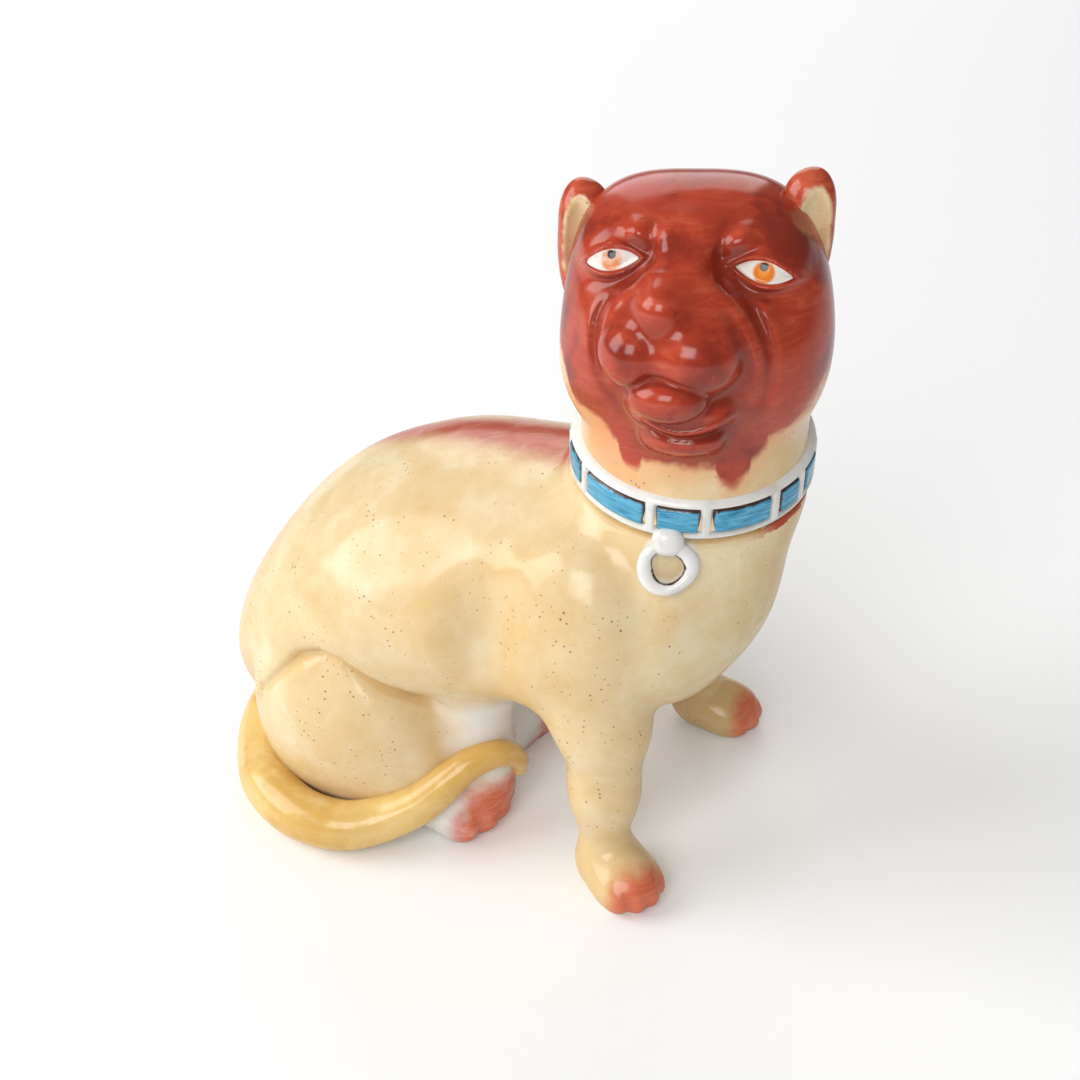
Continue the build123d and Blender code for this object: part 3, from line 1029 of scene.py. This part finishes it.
def ochre_tail(colours):
    """Ochre tail, darker in streaks along it."""
    material, g, shader = glaze("ochre_tail")
    clouds = shared(g, "pooled_colour", "Clouds", Scale=35.0)
    streaks = shared(g, "brush_streaks", "Streaks", Scale=80.0, Stretch=3.0)
    colour = g.mix(g.span(clouds, 0.38, 0.62), colours.ochre, colours.ochre_dark)
    colour = g.mix(g.span(streaks, 0.55, 0.75, 0, 0.5), colour, colours.cream)
    g.put(shader.inputs["Base Color"], colour)
    relief(g, shader, shared(g, "glaze_ripple", "Height"), 0.35)
    return material


def white_relief(colours):
    """White collar, lug and ring, with thin dark lines where they are outlined and dust in the glaze."""
    material, g, shader = glaze("white_relief")
    clouds = shared(g, "pooled_colour", "Clouds", Scale=60.0)
    colour = g.mix(g.span(clouds, 0.45, 0.7), colours.white, colours.white_shade)
    specks = shared(g, "iron_specks", "Specks", Spacing=320.0, Share=0.2)
    colour = g.mix(g.math("MULTIPLY", specks, 0.7), colour, colours.iron)
    line = rough_edge(g, g.attribute("line"), 0.22, 0.35, 400)
    colour = g.mix(line, colour, colours.outline)
    g.put(shader.inputs["Base Color"], colour)
    relief(g, shader, shared(g, "glaze_ripple", "Height"), 0.3)
    return material


def blue_panel(colours):
    """Blue enamel, streaked along each panel and outlined in dark brown."""
    material, g, shader = glaze("blue_panel")
    streaks = g.noise(g.scaled(g.node("UVMap").outputs[0], (120, 700, 1)), 1.0, 5, 0.6, 0.8)
    colour = g.mix(g.span(streaks, 0.35, 0.7), colours.blue, colours.blue_light)
    colour = g.mix(g.span(streaks, 0.45, 0.25), colour, colours.blue_deep)
    specks = shared(g, "iron_specks", "Specks", Spacing=420.0, Share=0.3)
    colour = g.mix(specks, colour, colours.outline)
    line = rough_edge(g, g.attribute("line"), 0.25, 0.3, 400)
    colour = g.mix(line, colour, colours.outline)
    g.put(shader.inputs["Base Color"], colour)
    relief(g, shader, shared(g, "glaze_ripple", "Height"), 0.4)
    return material


def raw_clay(colours):
    """Unglazed fired clay for the inside of the neck joint."""
    material, g, shader = glaze("raw_clay", 0.0, 0.85)
    clouds = shared(g, "pooled_colour", "Clouds", Scale=50.0)
    g.put(shader.inputs["Base Color"], g.mix(clouds, colours.clay, colours.white_shade))
    relief(g, shader, shared(g, "glaze_ripple", "Height", Skin=0.8), 0.6)
    return material


MATERIALS = (cream_body, red_face, red_ear, ochre_tail, white_relief, blue_panel, raw_clay)


def finish_of(name):
    """A material by name."""
    return bpy.data.materials[name]


# Sizes and colours that a user would change

def colour_prop(name, description, default):
    """A colour property in linear values."""
    return bpy.props.FloatVectorProperty(name=name, description=description, subtype="COLOR", size=3,
                                         min=0, max=1, default=default)


class DogColours(bpy.types.PropertyGroup):
    """Colours of the clay, glaze and paint."""
    cream: colour_prop("Cream", "Ground of the body", (0.78, 0.61, 0.35))
    # Amber also serves as the painted shade in the body's hollows.
    amber: colour_prop("Amber", "Pooled colour on the body", (0.69, 0.47, 0.20))
    pale: colour_prop("Pale", "Thin glaze on the body", (0.83, 0.71, 0.48))
    iron: colour_prop("Iron specks", "Specks in the glaze", (0.10, 0.055, 0.03))
    white: colour_prop("White", "Unpainted white", (0.80, 0.79, 0.76))
    white_shade: colour_prop("White shade", "Greyer white", (0.66, 0.64, 0.60))
    stripe: colour_prop("Stripe", "Red along the back", (0.50, 0.085, 0.045))
    toe: colour_prop("Toes", "Red on the toes", (0.70, 0.17, 0.085))
    toe_dark: colour_prop("Toe shade", "Darker red on the toes", (0.48, 0.075, 0.035))
    mask: colour_prop("Mask", "Red-brown of the face", (0.43, 0.045, 0.019))
    mask_light: colour_prop("Mask light", "Thin paint on the face", (0.58, 0.11, 0.05))
    # Mask dark also serves as the painted shade in the face's hollows.
    mask_dark: colour_prop("Mask dark", "Thick paint on the face", (0.19, 0.021, 0.012))
    blush: colour_prop("Blush", "Peach on the neck", (0.80, 0.33, 0.15))
    ochre: colour_prop("Ochre", "Tail", (0.80, 0.56, 0.21))
    ochre_dark: colour_prop("Ochre shade", "Darker ochre on the tail", (0.68, 0.41, 0.11))
    blue: colour_prop("Blue", "Enamel", (0.03, 0.27, 0.46))
    blue_light: colour_prop("Blue light", "Thin enamel", (0.13, 0.47, 0.66))
    blue_deep: colour_prop("Blue deep", "Thick enamel", (0.015, 0.15, 0.29))
    outline: colour_prop("Outline", "Dark line round the enamel", (0.06, 0.025, 0.02))
    eye_white: colour_prop("Eye white", "White of the eyes", (0.80, 0.76, 0.70))
    iris: colour_prop("Iris", "Orange of the eyes", (0.78, 0.21, 0.02))
    iris_light: colour_prop("Iris light", "Lighter middle of the iris", (0.85, 0.34, 0.06))
    pupil: colour_prop("Pupil", "Pupil", (0.03, 0.03, 0.035))
    clay: colour_prop("Clay", "Bare fired clay", (0.70, 0.62, 0.50))


class DogSizes(bpy.types.PropertyGroup):
    """Fineness of the meshes."""
    body_step: bpy.props.FloatProperty(
        name="Body step", description="Spacing of points on the body in millimetres",
        default=1.15, min=0.5, max=6)
    head_columns: bpy.props.IntProperty(
        name="Head columns", description="Points round the head",
        default=380, min=60, max=600)


class DogStudio(bpy.types.PropertyGroup):
    """Camera and light."""
    azimuth: bpy.props.FloatProperty(
        name="Azimuth", description="Camera's turn about the figure", subtype="ANGLE", default=radians(-60))
    elevation: bpy.props.FloatProperty(
        name="Elevation", description="Camera's height as an angle", subtype="ANGLE", default=radians(33))
    distance: bpy.props.FloatProperty(
        name="Distance", description="Camera to target", unit="LENGTH", default=0.62)
    lens: bpy.props.FloatProperty(
        name="Lens", description="Focal length in millimetres", default=58.6)


def colours_now():
    """The scene's colours."""
    return bpy.context.scene.pottery_dog_colours


# Operators

class POTTERY_OT_finishes(bpy.types.Operator):
    """Make the shared node groups and the materials"""
    bl_idname = "pottery.finishes"
    bl_label = "Finishes"

    def execute(self, context):
        for make in (speck_group, cloud_group, brush_group, ripple_group):
            make()
        for make in MATERIALS:
            make(colours_now())
        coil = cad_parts["neck_joint_coil"].data
        coil.materials.clear()
        coil.materials.append(finish_of("raw_clay"))
        return {"FINISHED"}


def clay_piece(name, field, low, high, node):
    """A piece of the body's skin inside a region, with the body's paint."""
    step = bpy.context.scene.pottery_dog_sizes.body_step
    points, quads = skin(field, low, high, step)
    normals = unit(slopes(body, points))
    inner = np.abs(body(points)) > 0.7
    normals[inner] = unit(slopes(field, points[inner]))
    paint = body_paint(points, normals)
    return make_piece(name, points, quads, node, finish_of("cream_body"), normals, paint)


def foreleg_zone(p, side):
    """Negative in the part of a front leg below the shoulder."""
    rows, _ = FORELEGS[side]
    x, y = rows[2][:2]
    return np.maximum(np.hypot(p[..., 0] - x, p[..., 1] - y) - FORELEG_ROOM, p[..., 2] - FORELEG_TOP)


def hind_zone(p, side):
    """Negative round a hind paw and the front of its shank."""
    _, place, _ = HIND_LEGS[side]
    return np.maximum(ball(p, (place[0], place[1] - 2, 8), HIND_ROOM), HIND_FRONT - p[..., 1])


def vent(p):
    """The firing vent through the slab."""
    return np.hypot(p[..., 0], p[..., 1] - VENT_Y) - VENT_RADIUS


def sunk(p, beyond):
    """The body's distance, with the surface sunk by a little where a piece runs on under its neighbour."""
    return body(p) + SUNK * soft(beyond / OVERLAP)


def leg_skin(p, zone, side):
    """A leg inside its zone; it runs on a little under the trunk."""
    beyond = zone(p, side)
    return np.maximum(sunk(p, beyond), beyond - OVERLAP)


def trunk(p, side):
    """Half of the body above the slab without the lower legs; it runs on a little under its neighbours."""
    name = "left" if side > 0 else "right"
    legs = np.maximum(-foreleg_zone(p, name), -hind_zone(p, name))
    beyond = np.maximum(legs, -side * p[..., 0])
    d = np.maximum(sunk(p, beyond), beyond - OVERLAP)
    return np.maximum(np.maximum(d, SLAB_TOP - 1.5 - p[..., 2]), collar_height_of(p) - 3)


def slab(p):
    """The slab that closes the underside, with its vent."""
    return np.maximum.reduce([body(p), p[..., 2] - SLAB_TOP, -vent(p), SLAB_FRONT - p[..., 1]])


class POTTERY_OT_body(bpy.types.Operator):
    """Make the two halves of the body and the slab under it"""
    bl_idname = "pottery.body"
    bl_label = "Body"

    def execute(self, context):
        clay_piece("body_left", partial(trunk, side=1), (-9, -166, -2), (82, 74, 172), "body_left_shell")
        clay_piece("body_right", partial(trunk, side=-1), (-82, -166, -2), (9, 74, 172), "body_right_shell")
        clay_piece("slab", slab, (-84, -66, -4), (84, 74, 9), "base_slab")
        return {"FINISHED"}


class POTTERY_OT_legs(bpy.types.Operator):
    """Make the front and hind legs"""
    bl_idname = "pottery.legs"
    bl_label = "Legs"

    def execute(self, context):
        for side, (rows, _) in FORELEGS.items():
            x, y = rows[2][:2]
            field = partial(leg_skin, zone=foreleg_zone, side=side)
            clay_piece("front_leg_" + side, field, (x - 40, y - 42, -3), (x + 40, y + 40, 62),
                       "foreleg_" + side)
        for side, (_, (x, y), _) in HIND_LEGS.items():
            field = partial(leg_skin, zone=hind_zone, side=side)
            clay_piece("rear_leg_" + side, field, (x - 32, y - 34, -3), (x + 32, y + 34, 46),
                       "hind_leg_" + side)
        return {"FINISHED"}


class POTTERY_OT_head(bpy.types.Operator):
    """Make the face and the back of the head"""
    bl_idname = "pottery.head"
    bl_label = "Head"

    def execute(self, context):
        columns = context.scene.pottery_dog_sizes.head_columns
        fine = int(columns * 0.42)
        angles = np.concatenate([np.linspace(0.004, 1.25, fine), np.linspace(1.25, pi - 0.01, fine // 2)[1:]])
        centre = HEAD_CENTRE + HEAD_AXES @ np.array([0, -3, -3.0])
        points = polar_points(head, centre, HEAD_AXES, angles, columns, 84)
        seam = int(np.searchsorted(angles, 1.6))
        self.part("face", points[:seam + 1], centre, False, "face_shell", "face_glaze")
        self.part("head_back", points[seam:], centre, True, "head_back_shell", "body_glaze")
        return {"FINISHED"}

    def part(self, name, grid, centre, back, node, slot):
        """One half of the head: its rows, a fan over the pole and a fan from the joint to the centre."""
        rows, columns = grid.shape[:2]
        flat = grid.reshape(-1, 3)
        pole = flat[-columns:].mean(0) if back else flat[:columns].mean(0)
        points = np.vstack([flat, pole, centre])
        ring = np.arange(columns)
        first, last = ring, (rows - 1) * columns + ring
        pole_id, centre_id = len(flat), len(flat) + 1
        caps = [fan(first[::-1], centre_id if back else pole_id), fan(last, pole_id if back else centre_id)]
        quads = grid_quads(rows, columns)
        normals = unit(slopes(head, points))
        corner, ahead, _, beside = points[quads[0]]
        if np.cross(ahead - corner, beside - corner) @ normals[quads[0, 0]] < 0:
            quads = quads[:, ::-1]
            caps = [c[:, ::-1] for c in caps]
        paint = head_paint(points, normals)
        make_piece(name, points, [quads] + caps, node, finish_of("red_face"), normals, paint)


class POTTERY_OT_ears(bpy.types.Operator):
    """Make the ears"""
    bl_idname = "pottery.ears"
    bl_label = "Ears"

    def execute(self, context):
        step = 0.7
        for side, (_, place) in EARS.items():
            centre = HEAD_CENTRE + HEAD_AXES @ np.array(place)
            field = partial(ear, side=side)
            points, quads = skin(field, centre - 32, centre + 32, step)
            paint = {"hollow": ear_cup(ear_local(points, side), side) - 0.9}
            make_piece("ear_flap_" + side, points, quads, "ear_" + side, finish_of("red_ear"),
                       unit(slopes(field, points)), paint)
        return {"FINISHED"}


def tube(rows, around):
    """Rings of points round a path given by rows of x, y, z and radius."""
    path, radius = rows[:, :3], rows[:, 3]
    along = unit(np.gradient(path, axis=0))
    side = unit(np.cross(along, np.array([0, 0, 1.0])))
    up = np.cross(side, along)
    angle = np.arange(around) * 2 * pi / around
    ring = side[:, None] * np.cos(angle)[:, None] + up[:, None] * np.sin(angle)[:, None]
    return path[:, None] + radius[:, None, None] * ring


class POTTERY_OT_tail(bpy.types.Operator):
    """Make the tail"""
    bl_idname = "pottery.tail"
    bl_label = "Tail"

    def execute(self, context):
        rows = smooth_rows(TAIL_ROWS, 22)
        around = 48
        end = np.linspace(0, pi / 2, 9)[1:, None]
        tip_way = unit(rows[-1, :3] - rows[-2, :3])
        tip, tip_radius = rows[-1, :3], rows[-1, 3]
        cap = np.hstack([tip + tip_way * tip_radius * np.sin(end), tip_radius * np.cos(end) + 0.01])
        rows = np.vstack([rows, cap])
        grid = tube(rows, around)
        grid[..., 2] = np.maximum(grid[..., 2], 0.4)
        flat = grid.reshape(-1, 3)
        points = np.vstack([flat, rows[0, :3], rows[-1, :3]])
        ring = np.arange(around)
        last = (len(rows) - 1) * around + ring
        faces = [grid_quads(len(rows), around), fan(ring[::-1], len(flat)), fan(last, len(flat) + 1)]
        make_piece("tail_coil", points, faces, "tail", finish_of("ochre_tail"))
        return {"FINISHED"}


def collar_frame(angle, radius, height):
    """Places round the collar's middle from an angle, a radius and a height."""
    across, ahead, axis = collar_axes()
    return (COLLAR_CENTRE + (radius * np.cos(angle))[..., None] * across
            + (radius * np.sin(angle))[..., None] * ahead + np.asarray(height)[..., None] * axis)


def rib_distance(angle):
    """Millimetres from an angle on the collar to the edge of the nearest rib; negative on the rib."""
    away = np.abs((angle[..., None] - np.radians(RIBS) + pi) % (2 * pi) - pi).min(-1)
    return away * COLLAR_FLOOR - RIB_WIDTH / 2


def squared(x):
    """A sine drawn a little towards a square wave."""
    return np.sign(x) * np.abs(x) ** 0.8


class POTTERY_OT_collar(bpy.types.Operator):
    """Make the collar band, its enamel panels, the lug and the ring"""
    bl_idname = "pottery.collar"
    bl_label = "Collar"

    def execute(self, context):
        self.band()
        self.panels()
        self.lug_and_ring()
        return {"FINISHED"}

    def band(self):
        """The band: a profile carried round the neck, with rails and ribs that stand proud of its floor."""
        count = 720
        angle = np.arange(count) * 2 * pi / count
        height = COLLAR_HALF_HEIGHT * np.linspace(-1, 1, 41)
        a, h = np.meshgrid(angle, height, indexing="ij")
        rail = soft((np.abs(h) - (COLLAR_HALF_HEIGHT - COLLAR_RAIL - 0.8)) / 1.3)
        rib = soft(0.5 - rib_distance(a) / 1.6)
        proud = COLLAR_PROUD * np.maximum(rail, rib)
        turned = np.where(h > 0, 3.6, 2.2)
        turn = np.clip((np.abs(h) - COLLAR_HALF_HEIGHT + turned) / turned, 0, 1)
        edge = np.sqrt(np.clip(1 - turn ** 2, 0, 1))
        radius = COLLAR_FLOOR - 3.5 + (3.5 + proud) * np.clip(edge, 0.02, 1)
        outer = collar_frame(a, radius, h)
        inner = collar_frame(a[:, ::-1][:, [0, -1]], np.full((count, 2), COLLAR_SEAT), h[:, ::-1][:, [0, -1]])
        grid = np.concatenate([outer, inner], 1)
        columns = grid.shape[1]
        quads = grid_quads(count, columns, True, True)
        make_piece("collar_rails", grid.reshape(-1, 3), quads, "collar_band",
                   finish_of("white_relief"), paint={"line": np.full(count * columns, NO_LINE)})

    def panels(self):
        """Each panel: a domed patch with rounded corners between two ribs, and its back."""
        ribs = np.radians(np.append(RIBS, RIBS[0] + 360))
        u, v = np.meshgrid(np.linspace(-1, 1, 49), np.linspace(-1, 1, 21), indexing="ij")
        tall = COLLAR_HALF_HEIGHT - COLLAR_RAIL - 0.15
        points, faces, line, uv = [], [], [], []
        for index in range(len(RIBS)):
            start = ribs[index] + (RIB_WIDTH / 2 - 0.2) / COLLAR_FLOOR
            stop = ribs[index + 1] - (RIB_WIDTH / 2 - 0.2) / COLLAR_FLOOR
            half = (stop - start) / 2
            squeeze = 1 - 0.10 * np.abs(u) ** 6
            pinch = 1 - 0.05 * np.abs(v) ** 6
            angle = (start + stop) / 2 + half * u * pinch
            h = tall * v * squeeze
            gap = np.minimum((1 - np.abs(u)) * half * COLLAR_FLOOR, (1 - np.abs(v)) * tall)
            radius = COLLAR_FLOOR - 0.3 + (ENAMEL + 0.5) * soft(gap / 1.6) ** 0.5
            top = collar_frame(angle, radius, h).reshape(-1, 3)
            under = collar_frame(angle, np.full(u.shape, COLLAR_FLOOR - 1.5), h).reshape(-1, 3)
            base = sum(len(x) for x in points)
            rows, columns = u.shape
            size = rows * columns
            rim = np.concatenate([np.arange(columns), np.arange(1, rows) * columns + columns - 1,
                                  (rows - 1) * columns + np.arange(columns - 2, -1, -1),
                                  np.arange(rows - 2, 0, -1) * columns])
            walls = np.stack([rim, np.roll(rim, -1), np.roll(rim, -1) + size, rim + size], 1)
            face = grid_quads(rows, columns, False, False)
            faces += [face + base, face[:, ::-1] + base + size, walls[:, ::-1] + base]
            points += [top, under]
            line += [gap.ravel() - 1.0, gap.ravel() - 1.0]
            place = np.stack([(angle * COLLAR_FLOOR * MM).ravel(), (h * MM).ravel()], 1)
            uv += [place, place]
        make_piece("collar_enamel", np.vstack(points), faces, "collar_enamel_panels",
                   finish_of("blue_panel"), paint={"line": np.concatenate(line)}, uv=np.vstack(uv))

    def lug_and_ring(self):
        """The ring: a flattened round profile carried round a circle on the chest. The lug: a soft block."""
        out = unit(RING_NORMAL)
        right = unit(np.cross(np.array([0, 0, 1.0]), out))
        up = np.cross(out, right)
        count, around = 96, 36
        turn, roll = np.meshgrid(np.arange(count) * 2 * pi / count, np.arange(around) * 2 * pi / around,
                                 indexing="ij")
        wire = RING_WIRE * np.cos(roll) * (1 + 0.15 * np.sin(turn * 2 + 0.6))
        radius = RING_RADIUS + 0.3 * np.sin(3 * turn + 1) + wire
        rise = RING_RISE * np.sin(roll) + 0.2
        grid = (RING_CENTRE + (radius * np.cos(turn))[..., None] * right
                + (0.95 * radius * np.sin(turn))[..., None] * up + rise[..., None] * out)
        line = np.abs(np.cos(roll) + 0.90) * RING_WIRE - 0.28
        quads = grid_quads(count, around, True, True)
        make_piece("collar_ring_relief", grid.reshape(-1, 3), quads, "collar_ring",
                   finish_of("white_relief"), paint={"line": line.ravel()})
        rows, columns = 40, 64
        a, b = np.meshgrid(np.linspace(0, pi, rows), np.arange(columns) * 2 * pi / columns, indexing="ij")
        wide, tall, deep = LUG_RADII
        lug = (RING_CENTRE + LUG_ABOVE * up + 0.4 * out
               + (wide * squared(np.sin(a) * np.cos(b)))[..., None] * right
               + (tall * squared(np.sin(a) * np.sin(b)))[..., None] * up
               + (deep * np.cos(a))[..., None] * out)
        make_piece("collar_lug_block", lug.reshape(-1, 3), grid_quads(rows, columns)[:, ::-1],
                   "collar_lug", finish_of("white_relief"), paint={"line": np.full(rows * columns, NO_LINE)})


def facing(way):
    """Rotation that points -Z along a way with Y up."""
    return Vector(way).to_track_quat("-Z", "Y").to_euler()


def area_light(name, place, size, power):
    """A soft square lamp that looks at the target."""
    data = bpy.data.lights.new(name, "AREA")
    data.size = size
    data.energy = power
    lamp = bpy.data.objects.new(name, data)
    lamp.location = place
    lamp.rotation_euler = facing(TARGET - np.array(place))
    bpy.context.scene.collection.objects.link(lamp)


class POTTERY_OT_stage(bpy.types.Operator):
    """Set the floor, the lights and the camera"""
    bl_idname = "pottery.stage"
    bl_label = "Stage"

    def execute(self, context):
        studio = context.scene.pottery_dog_studio
        level = cos(studio.elevation)
        back = np.array([sin(studio.azimuth) * level, -cos(studio.azimuth) * level, sin(studio.elevation)])
        camera_data = bpy.data.cameras.new("photo_camera")
        camera_data.lens = studio.lens
        camera_data.sensor_width = 36
        camera_data.clip_start = 0.01
        camera = bpy.data.objects.new("photo_camera", camera_data)
        camera.location = TARGET + back * studio.distance
        camera.rotation_euler = facing(-back)
        context.scene.collection.objects.link(camera)
        context.scene.camera = camera
        self.floor(context)
        for lamp in LAMPS:
            area_light(*lamp)
        self.world(context)
        context.scene.view_settings.view_transform = "Standard"
        return {"FINISHED"}

    def floor(self, context):
        """A wide pale floor that reads white to the camera where no shadow falls."""
        e = FLOOR_HALF
        mesh = bpy.data.meshes.new("floor")
        mesh.from_pydata([(-e, -e, 0), (e, -e, 0), (e, e, 0), (-e, e, 0)], [], [(0, 1, 2, 3)])
        floor = bpy.data.objects.new("floor", mesh)
        context.scene.collection.objects.link(floor)
        material = bpy.data.materials.new("pale_floor")
        material.use_nodes = True
        g = Graph(material.node_tree)
        shader = material.node_tree.nodes["Principled BSDF"]
        shader.inputs["Base Color"].default_value = (0.9, 0.9, 0.9, 1)
        shader.inputs["Roughness"].default_value = 0.9
        shader.inputs["Specular IOR Level"].default_value = 0.0
        seen = g.node("LightPath").outputs["Is Camera Ray"]
        g.put(shader.inputs["Emission Color"], g.mix(seen, (0, 0, 0), (FLOOR_GLOW,) * 3))
        shader.inputs["Emission Strength"].default_value = 1.0
        mesh.materials.append(material)

    def world(self, context):
        """An even pale world."""
        world = bpy.data.worlds.new("studio")
        world.use_nodes = True
        background = world.node_tree.nodes["Background"]
        background.inputs["Color"].default_value = (1, 1, 1, 1)
        g = Graph(world.node_tree)
        glossy = g.node("LightPath").outputs["Is Glossy Ray"]
        g.put(background.inputs["Strength"], g.span(glossy, 0, 1, WORLD_LIGHT, WORLD_GLOSS, False))
        context.scene.world = world


PIECE_OPERATORS = (POTTERY_OT_finishes, POTTERY_OT_body, POTTERY_OT_legs, POTTERY_OT_head, POTTERY_OT_ears,
                   POTTERY_OT_tail, POTTERY_OT_collar, POTTERY_OT_stage)


class POTTERY_PT_panel(bpy.types.Panel):
    """Lists the pieces in the order that they are made"""
    bl_label = "Pottery Dog"
    bl_idname = "POTTERY_PT_panel"
    bl_space_type = "VIEW_3D"
    bl_region_type = "UI"
    bl_category = "Pottery Dog"

    def draw(self, context):
        for operator in PIECE_OPERATORS:
            self.layout.operator(operator.bl_idname)
        for group in ("pottery_dog_sizes", "pottery_dog_studio", "pottery_dog_colours"):
            settings = getattr(context.scene, group)
            for key in settings.bl_rna.properties.keys():
                if key not in ("rna_type", "name"):
                    self.layout.prop(settings, key)


CLASSES = (DogColours, DogSizes, DogStudio) + PIECE_OPERATORS + (POTTERY_PT_panel,)


def register():
    """Add the classes and the scene's settings."""
    for item in CLASSES:
        bpy.utils.register_class(item)
    bpy.types.Scene.pottery_dog_colours = bpy.props.PointerProperty(type=DogColours)
    bpy.types.Scene.pottery_dog_sizes = bpy.props.PointerProperty(type=DogSizes)
    bpy.types.Scene.pottery_dog_studio = bpy.props.PointerProperty(type=DogStudio)


def unregister():
    """Take the settings and the classes away."""
    for group in ("pottery_dog_colours", "pottery_dog_sizes", "pottery_dog_studio"):
        delattr(bpy.types.Scene, group)
    for item in reversed(CLASSES):
        bpy.utils.unregister_class(item)


def main():
    """Build every piece in order."""
    register()
    for step in ("finishes", "body", "legs", "head", "ears", "tail", "collar", "stage"):
        getattr(bpy.ops.pottery, step)()


if __name__ == "__main__":
    main()
